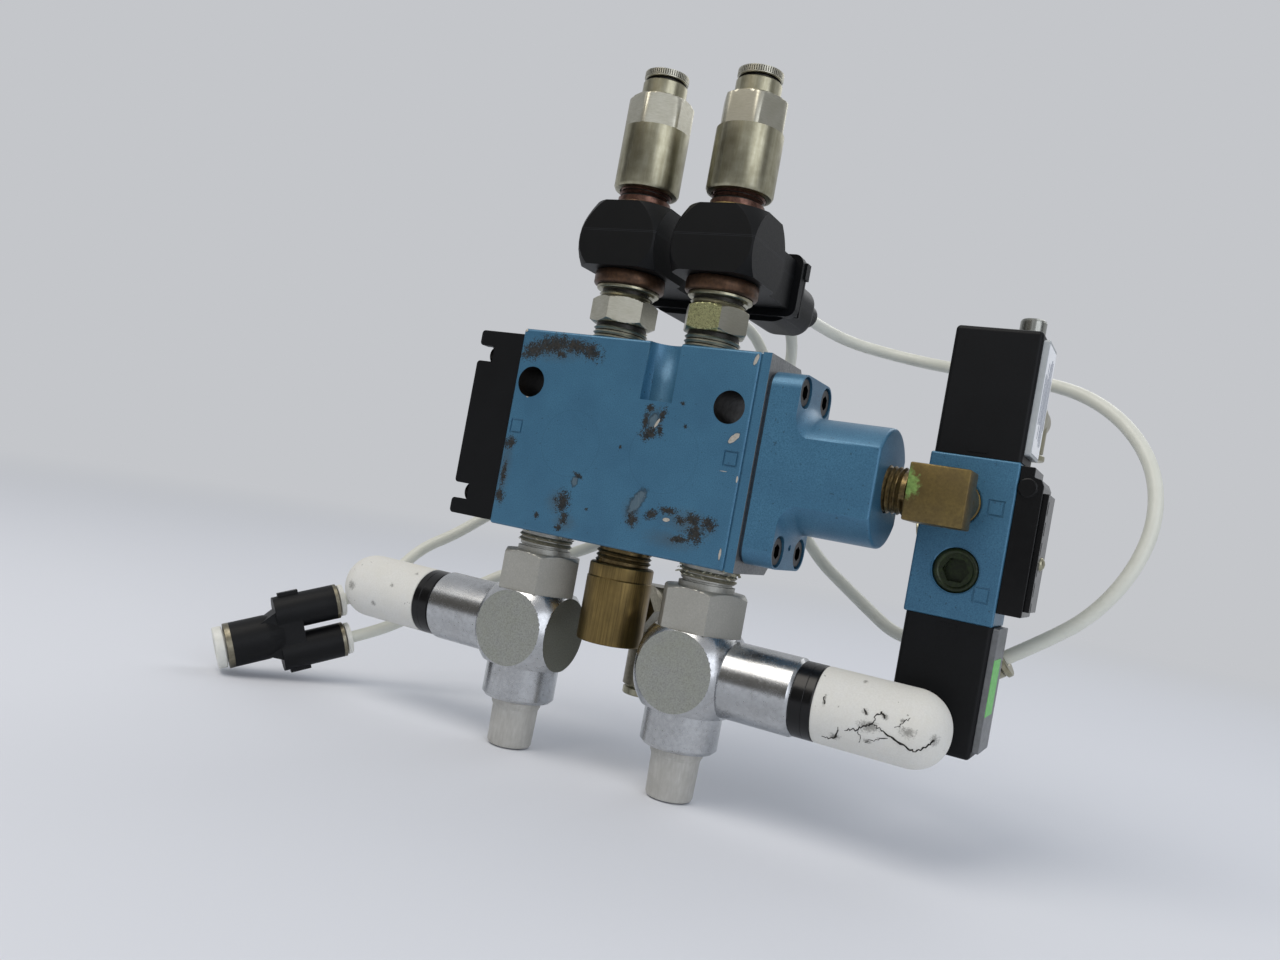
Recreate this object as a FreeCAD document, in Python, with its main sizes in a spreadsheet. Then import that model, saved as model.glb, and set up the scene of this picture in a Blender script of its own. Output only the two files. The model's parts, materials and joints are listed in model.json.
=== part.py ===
# Pneumatic valve: a piloted spool valve with two air signal sensors, quick exhausts and a pilot valve.
# Millimetres, +Z up along the top ports, +X along the spool to the pilot end, +Y to the mounting face.
# The origin lies midway between the two mounting holes, on the rear face.
import FreeCAD, Part
import math
import os
import re

import Sketcher

os.makedirs("parts", exist_ok=True)
doc = FreeCAD.newDocument("pneumatic_valve")
sheet = doc.addObject("Spreadsheet::Sheet", "Sizes")
Vector = FreeCAD.Vector
Rotation = FreeCAD.Rotation

SIZES = {
    # Valve body, from the origin
    "body_left": 37.6, "body_right": 38.4, "body_top": 15.6, "body_bottom": 42.9,
    "body_deep": 27.0, "edge_round": 0.8,
    "hole_spacing": 63.8, "hole_dia": 9.0,
    "notch_x": 9.9, "notch_dia": 10.0, "notch_long": 16.5,
    "mark_size": 4.2, "mark_inset": 3.4, "mark_drop": 13.5, "mark_deep": 0.3,
    "mark_line": 0.5,
    # Ports and the spool's bore
    "port_left": 12.9, "port_right": 17.3,
    "exhaust_left": 25.4, "exhaust_right": 28.9, "inlet_x": 1.8,
    "thread_dia": 16.2, "thread_gap": 0.1, "port_deep": 12.0, "passage_dia": 8.0,
    "spool_drop": 14.2, "bore_dia": 14.0, "gallery_dia": 17.0, "gallery_wide": 5.0,
    # Spool, piston and return spring
    "slide_gap": 0.05, "spool_core": 8.0, "spool_left": 35.6,
    "land_wide": 3.4, "seal_wide": 1.6, "seal_groove": 1.8, "seal_core": 11.0,
    # Each seal from the nearest port, with the spool at rest
    "seal_1": 5.6, "seal_2": 6.3, "seal_3": 1.2, "seal_4": 5.2, "seal_5": 0.9, "seal_6": 7.7,
    "piston_dia": 24.0, "piston_wide": 4.6, "piston_room": 0.6, "piston_seal_core": 20.0,
    "spring_wire": 1.2, "spring_dia": 10.0, "spring_turns": 5.0, "spring_spigot": 6.0,
    "spigot_long": 2.0, "spring_step": 0.6, "spring_bore": 12.4, "spring_gap": 0.3,
    # End cover and its screws
    "cover_thick": 15.4, "cover_high": 56.0, "cover_inset": 0.4, "cover_round": 1.1,
    "slot_high": 4.7, "slot_deep": 5.4, "spring_room": 12.0,
    "screw_pitch_y": 16.6, "screw_pitch_z": 42.1,
    "end_screw_dia": 3.0, "end_head_dia": 5.5, "end_head_high": 3.0, "end_pocket_dia": 6.2,
    "end_screw_grip": 7.0, "screw_gap": 0.1, "screw_end": 0.4, "socket_end": 2.5,
    # End plate, gasket and pilot cap
    "groove_wide": 0.5, "groove_deep": 0.5, "plate_thick": 2.5, "gasket_thick": 1.0,
    "gasket_inset": 0.5, "plate_corner": 4.0,
    "flange_thick": 8.2, "flange_high": 51.5, "cap_wall": 1.0, "flange_corner": 4.7,
    "boss_dia": 31.4, "boss_long": 23.3, "boss_blend": 4.0, "boss_round": 0.8,
    "piston_deep": 10.0, "pilot_passage": 5.0, "pilot_thread": 12.4, "pilot_deep": 10.0,
    "cap_screw_dia": 4.0, "cap_head_dia": 7.8, "cap_head_high": 4.0, "cap_bore_dia": 8.4,
    "cap_bore_deep": 4.4, "cap_screw_grip": 3.8, "socket_cap": 3.6, "vent_dia": 1.8,
    "vent_deep": 3.0, "vent_rise": 1.4,
    # Stud through each top port, and what it clamps
    "stud_hex": 17.0, "stud_hex_low": 5.5, "stud_hex_high": 7.5, "stud_neck": 3.5,
    "stud_collar_dia": 18.6, "stud_collar_high": 1.0,
    "stud_bore": 8.0, "thread_grip": 9.0, "stud_dia": 15.6,
    "washer_dia": 21.0, "washer_thick": 4.3, "top_washer_dia": 17.6, "top_washer_thick": 1.6,
    "cube_size": 25.0, "cube_high": 19.0, "cube_corner": 16.4, "cube_shoulder": 11.6,
    "cube_clear": 0.3,
    # Sensor module behind each cube
    "bridge_wide": 18.0, "bridge_high": 15.0, "bridge_in": 4.0,
    "module_plate_y": 16.4, "module_plate_thick": 3.4,
    "module_plate_wide": 22.4, "module_plate_high": 19.4, "module_plate_corner": 3.0,
    "module_drop": 1.6, "tail_end": 42.0, "tail_drop": 3.3, "tail_wide": 19.6, "tail_high": 15.6,
    "tail_round": 7.0, "tail_edge": 3.5,
    "rib_out": 1.2, "rib_thick": 1.1, "rib_pitch": 2.3, "module_gap": 0.2,
    "latch_deep": 2.2, "latch_high": 5.0, "latch_out": 0.6, "latch_drop": 2.0,
    "socket_dia": 7.6, "socket_pitch": 9.6, "socket_out": 2.0, "socket_deep": 4.0, "tube_dia": 4.0,
    # Straight tube fitting on each stud
    "fitting_rise": 4.0, "fitting_dia": 19.5, "fitting_high": 18.6, "fitting_bevel": 1.2,
    "fitting_hex": 17.4, "fitting_hex_high": 9.9, "throat_dia": 13.3, "throat_high": 4.6,
    "fitting_bore": 11.4, "fitting_seat": 7.5,
    "collet_dia": 13.2, "collet_head": 2.3, "collet_gap": 0.8, "collet_sleeve": 9.0,
    "collet_bore": 8.2, "collet_long": 14.0, "collet_floor": 1.0,
    # Quick exhaust tee under each outer port
    "nut_hex": 22.0, "nut_top": 6.4, "nut_high": 11.6, "nut_bore": 9.0, "nut_spigot": 4.0,
    "nut_spigot_dia": 17.0,
    "tee_drop": 29.0, "tee_half": 11.0, "tee_face_dia": 22.0, "tee_face_out": 12.2,
    "tee_cone_dia": 30.0, "tee_cone_in": 5.0, "tee_round": 0.3, "stub_step": 1.5,
    "tee_neck_dia": 21.6, "tee_low": 50.4, "tee_chamber": 17.2, "tee_bevel": 1.0,
    "arm_dia": 21.0, "arm_long": 32.0, "arm_bore": 12.0, "arm_bevel": 0.8,
    "lip_dia": 16.4, "lip_thick": 2.2, "lip_core": 6.0, "lip_gap": 0.2, "lip_stroke": 1.2,
    "lip_dish": 1.0, "lip_skirt": 1.2, "lip_room": 0.4,
    "pin_flare": 16.0, "pin_dia": 13.2, "pin_low": 64.5, "pin_flare_high": 2.6, "pin_spigot": 9.0,
    "pin_spigot_dia": 10.0, "pin_seat": 10.4, "pin_edge": 0.5,
    "ring_dia": 20.0, "ring_long": 6.0, "ring_spigot": 8.0,
    "silencer_dia": 20.0, "silencer_long": 33.0, "silencer_dome": 9.2, "silencer_wall": 6.0,
    "silencer_bore": 8.0,
    # Supply: brass sleeve with an elbow behind it
    "sleeve_top": 4.9, "sleeve_low": 27.5, "sleeve_dia": 19.0, "sleeve_bore": 9.0,
    "sleeve_edge": 0.5, "sleeve_floor": 4.0,
    "side_port_drop": 17.0, "side_port_dia": 9.6,
    "elbow_dia": 12.4, "elbow_back": 13.6, "elbow_low": 42.0, "elbow_hex": 14.0,
    "elbow_hex_from": 0.1, "elbow_hex_long": 5.5, "elbow_tube_bore": 9.4, "elbow_tube_deep": 14.0,
    "inlet_collet_bore": 6.2, "inlet_collet_head": 11.6,
    # Pilot elbow between the cap and the small valve
    "elbow_reach": 6.5, "elbow_wide": 14.9, "elbow_high": 14.6, "elbow_ahead": 8.6,
    "elbow_deep": 14.7, "elbow_leg": 9.1, "elbow_corner": 4.8, "elbow_edge": 0.6, "elbow_passage": 5.0,
    # Small pilot valve
    "port_a_in": 8.9, "small_wide": 22.8, "small_behind": 10.4, "small_deep": 18.0,
    "small_rise": 12.5, "small_high": 42.5,
    "operator_high": 34.0, "operator_low_high": 34.1, "operator_inset": 0.7, "operator_gap": 0.2,
    "operator_bore": 6.0, "base_room": 0.5,
    "operator_round": 1.2, "small_round": 0.6,
    "port_b_in": 11.3, "port_mark_drop": 5.0, "port_b_drop": 17.4,
    "small_thread": 11.7, "small_port_bevel": 0.4, "small_port_deep": 7.0,
    "plug_recess": 0.6, "plug_long": 5.6, "plug_edge": 0.4, "plug_socket": 6.0, "plug_socket_deep": 3.4,
    "small_bore": 5.0, "small_spool_core": 3.0, "small_land": 3.0, "small_stroke": 1.5,
    "side_plate_thick": 1.6, "side_plate_wide": 15.0, "side_plate_inset": 2.0,
    "knob_dia": 6.8, "knob_high": 5.3, "knob_stroke": 2.0, "knob_inset": 4.9, "knob_sunk": 4.0,
    "knob_room": 0.3, "knob_edge": 0.5,
    "terminal_inset": 0.7, "terminal_high": 38.0, "terminal_out": 6.2, "terminal_wide": 16.5,
    "terminal_step": 2.6, "terminal_step_high": 4.5, "terminal_slope": 0.8, "terminal_round": 0.8,
    "terminal_plate_thick": 1.4, "terminal_plate_inset": 1.6, "terminal_slot_wide": 1.2,
    "terminal_slot_high": 3.4, "terminal_slot_pitch": 5.2, "terminal_slot_count": 6,
    "terminal_stud_dia": 4.6, "terminal_stud_out": 0.9, "terminal_stud_drop": 5.4, "terminal_stud_in": 1.2,
    "terminal_screw_dia": 3.6, "terminal_screw_drop": 23.8,
    "terminal_screw_shank": 2.0, "terminal_screw_long": 4.0, "terminal_screw_sunk": 2.6,
    "terminal_screw_proud": 0.6, "terminal_slot_in": 1.2, "terminal_slot_top": 3.6,
    # Elbow fittings behind the small valve
    "base_dia": 6.4, "base_in": 5.0, "shoulder_dia": 10.4, "head_out": 11.1, "head_dia": 9.6,
    "low_fitting_in": 14.4, "low_fitting_drop": 15.5, "top_fitting_in": 19.2, "top_fitting_rise": 14.7,
    "mid_fitting_in": 5.2, "mid_fitting_rise": 23.6,
    "head_bore": 4.0, "leg_dia": 9.2, "leg_long": 9.0, "small_collet_dia": 10.4,
    "small_collet_head": 1.6, "small_collet_gap": 0.5, "tube_in": 3.0,
    "small_collet_wall": 0.8, "small_collet_sleeve": 4.0, "small_collet_deep": 5.0,
    "head_edge": 0.6, "fit_gap": 0.02,
    # Y connector on the supply tubes
    "y_long": 42.3, "y_spread": 13.2, "y_big_dia": 14.6, "y_big_long": 16.0, "y_leg_dia": 11.6,
    "y_leg_long": 20.5, "y_collet_out": 3.4, "y_small_collet_out": 2.2, "y_big_bore": 8.2,
    "y_taper": 5.0, "y_web": 5.0, "y_web_inset": 0.8,
    "y_neck_in": 2.0, "y_neck": 5.2, "y_shoulder": 3.0, "y_web_wide": 9.4, "y_rib_out": 1.0, "y_rib_thick": 2.4,
    "y_rib_from": 5.5, "y_rib_to": 12.0, "y_big_seat": 10.0, "y_leg_seat": 6.0, "y_collet_inset": 0.5,
    "y_collet_sleeve": 6.0,
}

for line, (alias, size) in enumerate(SIZES.items(), start=1):
    sheet.set("A%d" % line, alias)
    sheet.set("B%d" % line, str(size))
    sheet.setAlias("B%d" % line, alias)
doc.recompute()

TURN = {
    "up": Rotation(),
    "down": Rotation(Vector(1, 0, 0), 180),
    "right": Rotation(Vector(0, 1, 0), 90),
    "left": Rotation(Vector(0, 1, 0), -90),
    "front": Rotation(Vector(1, 0, 0), 90),
    "back": Rotation(Vector(1, 0, 0), -90),
}
MIDDLE = "-body_deep / 2"
SPOOL = "-spool_drop"
nodes = []


# Expressions and places
def rule(text):
    """The same formula with each size read from the sheet."""
    return re.sub(r"[a-z][a-z0-9_]*", lambda m: "Sizes." + m[0] if m[0] in SIZES else m[0], text)


def number(text):
    return float(sheet.evalExpression(rule(text)))


def place(obj, at=("0", "0", "0"), way="up"):
    obj.Placement = FreeCAD.Placement(Vector(*[number(text) for text in at]), TURN[way])
    for axis, text in zip("xyz", at):
        if text != "0":
            obj.setExpression("Placement.Base." + axis, rule(text))


def keep(obj, name):
    """List an object as one of the part's pieces, under the name of its file."""
    obj.Label = name
    nodes.append(obj)
    return obj


# Sketches: each corner and circle is held by its own formulas
def hold(sketch, geo, pos, u, v):
    for kind, text, axis in (("DistanceX", u, -2), ("DistanceY", v, -1)):
        if text == "0":
            sketch.addConstraint(Sketcher.Constraint("PointOnObject", geo, pos, axis))
            continue
        index = sketch.addConstraint(Sketcher.Constraint(kind, -1, 1, geo, pos, number(text)))
        sketch.setExpression("Constraints[%d]" % index, rule(text))


def outline(points):
    """Straight lines from corner to corner. A third value bends the line that leaves a corner: its bulge."""
    def draw(sketch):
        corners = [Vector(number(point[0]), number(point[1]), 0) for point in points]
        first = sketch.GeometryCount
        count = len(corners)
        # An arc is always stored anticlockwise, so its start may be the line's end
        ends = []
        for i, point in enumerate(points):
            start, end = corners[i], corners[(i + 1) % count]
            if len(point) == 2:
                sketch.addGeometry(Part.LineSegment(start, end))
                ends.append((1, 2))
                continue
            bulge = number(point[2])
            run = end - start
            radius = (run.Length ** 2 / 4 + bulge ** 2) / (2 * abs(bulge))
            side = Vector(run.y, -run.x, 0).normalize() * math.copysign(1, bulge)
            centre = (start + end) / 2 - side * (radius - abs(bulge))
            low, high = (start, end) if bulge > 0 else (end, start)
            turns = [math.atan2(corner.y - centre.y, corner.x - centre.x) for corner in (low, high)]
            if turns[1] < turns[0]:
                turns[1] += 2 * math.pi
            sketch.addGeometry(Part.ArcOfCircle(Part.Circle(centre, Vector(0, 0, 1), radius), *turns))
            ends.append((1, 2) if bulge > 0 else (2, 1))
        for i in range(count):
            after = (i + 1) % count
            sketch.addConstraint(Sketcher.Constraint("Coincident", first + i, ends[i][1],
                                                     first + after, ends[after][0]))
        for i, point in enumerate(points):
            hold(sketch, first + i, ends[i][0], point[0], point[1])
            if len(point) == 3:
                half_run = "sqrt((%s - (%s)) ^ 2 + (%s - (%s)) ^ 2) / 2" % (
                    points[(i + 1) % count][0], point[0], points[(i + 1) % count][1], point[1])
                bulge = "abs(%s)" % point[2]
                radius = "((%s) ^ 2 + (%s) ^ 2) / (2 * %s)" % (half_run, bulge, bulge)
                index = sketch.addConstraint(Sketcher.Constraint("Radius", first + i, number(radius)))
                sketch.setExpression("Constraints[%d]" % index, rule(radius))
    return draw


def rect(u0, v0, u1, v1):
    return outline([(u0, v0), (u1, v0), (u1, v1), (u0, v1)])


def disc(u, v, radius):
    def draw(sketch):
        centre = Vector(number(u), number(v), 0)
        geo = sketch.addGeometry(Part.Circle(centre, Vector(0, 0, 1), number(radius)))
        hold(sketch, geo, 3, u, v)
        index = sketch.addConstraint(Sketcher.Constraint("Radius", geo, number(radius)))
        sketch.setExpression("Constraints[%d]" % index, rule(radius))
    return draw


def hexagon(u, v, across, turn=0):
    """A hexagon by its width across flats; turn 0 puts a corner on the u axis."""
    corner = "(%s) / 2 / cos(30)" % across
    return outline([("(%s) + %s * cos(%d)" % (u, corner, a), "(%s) + %s * sin(%d)" % (v, corner, a))
                    for a in range(turn, turn + 360, 60)])


def new_sketch(body, plane, level, shapes):
    """A sketch on one of the body's own planes, moved along the plane's normal to its level."""
    sketch = body.newObject("Sketcher::SketchObject", body.Name + "_sketch")
    origin = [feature for feature in body.Origin.OriginFeatures if feature.Role == plane + "_Plane"][0]
    sketch.AttachmentSupport = [(origin, "")]
    sketch.MapMode = "FlatFace"
    if level != "0":
        sketch.setExpression("AttachmentOffset.Base.z", rule(level))
    for shape in shapes:
        shape(sketch)
    return sketch


# Features of a body
def new_body(name, at=("0", "0", "0"), way="up"):
    body = doc.addObject("PartDesign::Body", name)
    place(body, at, way)
    return body


def between(plane, low, high):
    """Where a sketch starts for a feature that runs from low to high along its plane's axis."""
    return "-(%s)" % high if plane == "XZ" else low


def pad(body, plane, low, high, *shapes):
    sketch = new_sketch(body, plane, between(plane, low, high), shapes)
    feature = body.newObject("PartDesign::Pad", body.Name + "_pad")
    feature.Profile = sketch
    feature.setExpression("Length", rule("(%s) - (%s)" % (high, low)))
    body.Tip = feature


def cut(body, plane, low, high, *shapes):
    sketch = new_sketch(body, plane, between(plane, low, high), shapes)
    feature = body.newObject("PartDesign::Pocket", body.Name + "_cut")
    feature.Profile = sketch
    feature.Reversed = True
    feature.setExpression("Length", rule("(%s) - (%s)" % (high, low)))
    body.Tip = feature


def turn(body, profile, kind="Revolution", plane="XZ", level="0", axis="V_Axis"):
    """Turn a profile about a sketch's own axis: radii and heights about the body's Z, unless told."""
    sketch = new_sketch(body, plane, level, [outline(profile)])
    feature = body.newObject("PartDesign::" + kind, body.Name + "_turned")
    feature.Profile = sketch
    feature.ReferenceAxis = (sketch, [axis])
    feature.Angle = 360
    body.Tip = feature


def turned(name, profile, at=("0", "0", "0"), way="up"):
    body = new_body(name, at, way)
    turn(body, profile)
    return body


def bevel_hex(body, across, level, side):
    """Take the corners off one end of a hexagon; side is + for its upper end and - for its lower."""
    corner = "(%s) / 2 / cos(30)" % across
    past = corner + " + 1"
    drop = "(%s - (%s) / 2) * tan(30)" % (past, across)
    turn(body, [("(%s) / 2" % across, level), (past, level),
                (past, "(%s) %s (%s)" % (level, "-" if side == "+" else "+", drop))], "Groove")


def edges_where(shape, test):
    return ["Edge%d" % (i + 1) for i, edge in enumerate(shape.Edges) if test(edge)]


def round_edges(body, test, radius, kind="Fillet"):
    doc.recompute()
    base = body.Tip
    feature = body.newObject("PartDesign::" + kind, body.Name + "_" + kind.lower())
    feature.Base = (base, edges_where(base.Shape, test))
    feature.setExpression("Radius" if kind == "Fillet" else "Size", rule(radius))
    body.Tip = feature


def along(axis):
    """A test for straight edges along an axis."""
    def test(edge):
        ends = edge.Vertexes
        if len(ends) < 2:
            return False
        step = ends[1].Point - ends[0].Point
        return abs(abs(getattr(step, axis)) - step.Length) < 1e-4 and step.Length > 1e-3
    return test


def any_edge(edge):
    return True


def group(name, members):
    compound = doc.addObject("Part::Compound", name)
    compound.Links = members
    return keep(compound, name)


# Valve body
TOP_PORTS = {"left": "-port_left", "right": "port_right"}
EXHAUSTS = {"left": "-exhaust_left", "right": "exhaust_right"}
INLET = "inlet_x"


def valve_body():
    body = new_body("valve_body")
    pad(body, "XY", "-body_bottom", "body_top", rect("-body_left", "-body_deep", "body_right", "0"))
    round_edges(body, any_edge, "edge_round")
    cut(body, "XY", "body_top - notch_long", "body_top + 1", disc("notch_x", "-body_deep", "notch_dia / 2"))
    cut(body, "XZ", "-body_deep - 1", "1", disc("-hole_spacing / 2", "0", "hole_dia / 2"),
        disc("hole_spacing / 2", "0", "hole_dia / 2"))
    cut(body, "YZ", "-body_left - 1", "body_right + 1", disc(MIDDLE, SPOOL, "bore_dia / 2"))
    tops, bottoms = list(TOP_PORTS.values()), list(EXHAUSTS.values()) + [INLET]
    for x in tops + bottoms:
        cut(body, "YZ", x + " - gallery_wide / 2", x + " + gallery_wide / 2",
            disc(MIDDLE, SPOOL, "gallery_dia / 2"))
    port, passage = "thread_dia / 2 + thread_gap", "passage_dia / 2"
    cut(body, "XY", "body_top - port_deep", "body_top + 1", *[disc(x, MIDDLE, port) for x in tops])
    cut(body, "XY", SPOOL, "body_top - port_deep + 0.01", *[disc(x, MIDDLE, passage) for x in tops])
    cut(body, "XY", "-body_bottom - 1", "port_deep - body_bottom", *[disc(x, MIDDLE, port) for x in bottoms])
    cut(body, "XY", "port_deep - body_bottom - 0.01", SPOOL, *[disc(x, MIDDLE, passage) for x in bottoms])
    cut(body, "YZ", "-body_left - 1", "end_screw_grip - body_left",
        *screw_discs("end_screw_dia / 2 + screw_gap"))
    cut(body, "YZ", "body_right - cap_screw_grip", "body_right + 1",
        *screw_discs("cap_screw_dia / 2 + screw_gap"))
    for side in ("-body_left + mark_inset", "body_right - mark_inset"):
        cut(body, "XZ", "-body_deep - 1", "mark_deep - body_deep", mark_frame(side, "-mark_drop"))
    return keep(body, "valve_body")


def screw_places():
    """The four screws at each end of the spool, as y and z."""
    return [("%s %s screw_pitch_y / 2" % (MIDDLE, sy), "%s %s screw_pitch_z / 2" % (SPOOL, sz))
            for sy in "+-" for sz in "+-"]


def screw_discs(radius):
    return [disc(y, z, radius) for y, z in screw_places()]


def mark_frame(x, z):
    """The outline of a square port mark."""
    half, line = "mark_size / 2", "mark_size / 2 - mark_line"

    def draw(sketch):
        for size in (half, line):
            rect("%s - (%s)" % (x, size), "%s - (%s)" % (z, size),
                 "%s + (%s)" % (x, size), "%s + (%s)" % (z, size))(sketch)
    return draw


# Spool, seals, piston and return spring: all on the spool's axis, drawn from its left end
REST = ("-spool_left", MIDDLE, SPOOL)
SEALS = ["spool_left - exhaust_left - seal_1", "spool_left - port_left - seal_2",
         "spool_left + inlet_x - seal_3", "spool_left + inlet_x + seal_4",
         "spool_left + exhaust_right - seal_5", "spool_left + exhaust_right + seal_6"]
PISTON_AT = "spool_left + body_right + groove_wide + plate_thick + gasket_thick + piston_deep" \
            " - piston_room - piston_wide"


def main_spool():
    core, land, groove = "spool_core / 2", "bore_dia / 2 - slide_gap", "seal_core / 2"
    step = "spring_dia / 2 + spring_step"
    profile = [("0", "0"), ("spring_spigot / 2", "0"), ("spring_spigot / 2", "spigot_long"),
               (step, "spigot_long")]
    for i, at in enumerate(SEALS):
        low, high = "%s - land_wide / 2" % at, "%s + land_wide / 2" % at
        inner, outer = "%s - seal_groove / 2" % at, "%s + seal_groove / 2" % at
        profile += [(core if i else step, low)]
        profile += [(land, low), (land, inner), (groove, inner), (groove, outer), (land, outer),
                    (land, high), (core, high)]
    profile += [(core, PISTON_AT), ("0", PISTON_AT)]
    return keep(turned("main_spool", profile, REST, "right"), "main_spool")


def ring(name, inner, outer, low, high, at, way):
    return turned(name, [(inner, low), (outer, low), (outer, high), (inner, high)], at, way)


def spool_seals():
    rings = [ring("spool_seal_%d" % i, "seal_core / 2 + fit_gap", "bore_dia / 2 - fit_gap",
                  "%s - seal_wide / 2" % at, "%s + seal_wide / 2" % at, REST, "right")
             for i, at in enumerate(SEALS, start=1)]
    return group("spool_seals", rings)


def pilot_piston():
    outer, groove = "piston_dia / 2 - slide_gap", "piston_seal_core / 2"
    inner, far = "(piston_wide - seal_groove) / 2", "(piston_wide + seal_groove) / 2"
    profile = [("0", "0"), (outer, "0"), (outer, inner), (groove, inner), (groove, far), (outer, far),
               (outer, "piston_wide"), ("0", "piston_wide")]
    at = ("%s - spool_left" % PISTON_AT, MIDDLE, SPOOL)
    keep(turned("pilot_piston", profile, at, "right"), "pilot_piston")
    middle = "piston_wide / 2"
    keep(ring("piston_seal", "piston_seal_core / 2 + fit_gap", "piston_dia / 2 - fit_gap",
              middle + " - seal_wide / 2", middle + " + seal_wide / 2", at, "right"), "piston_seal")


def return_spring():
    """A coil from the cover's blind hole to the shoulder round the spool's spigot."""
    start = number("-body_left - spring_room + spring_gap")
    end = number("-spool_left + spigot_long - spring_gap")
    wire, radius = number("spring_wire"), number("(spring_dia - spring_wire) / 2")
    length = end - start - wire
    helix = Part.makeHelix(length / number("spring_turns"), length, radius)
    section = Part.Wire(Part.makeCircle(wire / 2, Vector(radius, 0, 0), Vector(0, 1, 0)))
    coil = doc.addObject("Part::Feature", "return_spring")
    coil.Shape = Part.Wire(helix.Edges).makePipeShell([section], True, True)
    coil.Placement = FreeCAD.Placement(
        Vector(start + wire / 2, number(MIDDLE), number(SPOOL)), TURN["right"])
    return keep(coil, "return_spring")


# End cover on the left
def end_cover():
    body = new_body("end_cover")
    inner, outer = "-body_left", "-body_left - cover_thick"
    floor = "-body_left - cover_thick + slot_deep"
    above, below = SPOOL + " + cover_high / 2", SPOOL + " - cover_high / 2"
    slots = []
    for sign in ("-", "+"):
        middle = "%s %s screw_pitch_z / 2" % (SPOOL, sign)
        slots += [(outer, middle + " - slot_high / 2"), (floor, middle + " - slot_high / 2"),
                  (floor, middle + " + slot_high / 2"), (outer, middle + " + slot_high / 2")]
    pad(body, "XZ", "cover_inset - body_deep", "-cover_inset",
        outline([(inner, below), (outer, below)] + slots + [(outer, above), (inner, above)]))
    far = number(outer) + 0.01
    round_edges(body, lambda edge: along("y")(edge) and edge.CenterOfMass.x < far, "cover_round")
    cut(body, "YZ", "-body_left - spring_room", "-body_left + 1", disc(MIDDLE, SPOOL, "spring_bore / 2"))
    cut(body, "YZ", "-body_left - cover_thick - 1", "-body_left + 1",
        *screw_discs("end_screw_dia / 2 + screw_gap"))
    cut(body, "YZ", "-body_left - cover_thick - 1", floor, *screw_discs("end_pocket_dia / 2"))
    return keep(body, "end_cover")


def socket_screw(name, at, way, head_dia, head_high, shank_dia, shank_long, socket):
    """A cap screw with its head above the seat and its shank below."""
    body = turned(name, [("0", "-(%s)" % shank_long), ("%s / 2" % shank_dia, "-(%s)" % shank_long),
                         ("%s / 2" % shank_dia, "0"), ("%s / 2" % head_dia, "0"),
                         ("%s / 2" % head_dia, head_high), ("0", head_high)], at, way)
    cut(body, "XY", "%s / 2" % head_high, "%s + 1" % head_high, hexagon("0", "0", socket))
    return body


def end_cover_screws():
    seat = "-body_left - cover_thick + slot_deep"
    shank = "cover_thick - slot_deep + end_screw_grip - screw_end"
    return group("end_cover_screws",
                 [socket_screw("end_screw_%d" % i, (seat, y, z), "left", "end_head_dia", "end_head_high",
                               "end_screw_dia", shank, "socket_end")
                  for i, (y, z) in enumerate(screw_places(), start=1)])


# End plate, gasket and pilot cap on the right
PLATE_LEFT = "body_right"
PLATE_RIGHT = "body_right + groove_wide + plate_thick"
CAP_LEFT = PLATE_RIGHT + " + gasket_thick"
CAP_RIGHT = CAP_LEFT + " + flange_thick"
BOSS_END = CAP_RIGHT + " + boss_long"
# The cap is as deep as its piston, with a wall on each side
FLANGE_DEEP = "(piston_dia + 2 * cap_wall)"


def cropped_rect(inset):
    """The body's end outline with its rear corners cropped."""
    front, back = "-body_deep + (%s)" % inset, "-(%s)" % inset
    low, high = "-body_bottom + (%s)" % inset, "body_top - (%s)" % inset
    return outline([(front, low), (back + " - plate_corner", low), (back, low + " + plate_corner"),
                    (back, high + " - plate_corner"), (back + " - plate_corner", high), (front, high)])


def end_plate():
    body = new_body("end_plate")
    pad(body, "YZ", PLATE_LEFT, PLATE_LEFT + " + groove_wide", cropped_rect("groove_deep"))
    pad(body, "YZ", PLATE_LEFT + " + groove_wide", PLATE_RIGHT, cropped_rect("0"))
    cut(body, "YZ", PLATE_LEFT + " - 1", PLATE_RIGHT + " + 1", disc(MIDDLE, SPOOL, "bore_dia / 2"),
        *screw_discs("cap_screw_dia / 2 + screw_gap"))
    return keep(body, "end_plate")


def flange_outline(inset):
    """The cap's flange: a rectangle with round corners about its screws."""
    half_deep, half_high = "(%s / 2 - %s)" % (FLANGE_DEEP, inset), "(flange_high / 2 - %s)" % inset
    return rect("%s - %s" % (MIDDLE, half_deep), "%s - %s" % (SPOOL, half_high),
                "%s + %s" % (MIDDLE, half_deep), "%s + %s" % (SPOOL, half_high))


def end_gasket():
    body = new_body("end_gasket")
    pad(body, "YZ", PLATE_RIGHT, CAP_LEFT, flange_outline("gasket_inset"))
    round_edges(body, along("x"), "flange_corner - gasket_inset")
    cut(body, "YZ", PLATE_RIGHT + " - 1", CAP_LEFT + " + 1", disc(MIDDLE, SPOOL, "piston_dia / 2"),
        *screw_discs("cap_screw_dia / 2 + screw_gap"))
    return keep(body, "end_gasket")


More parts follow.
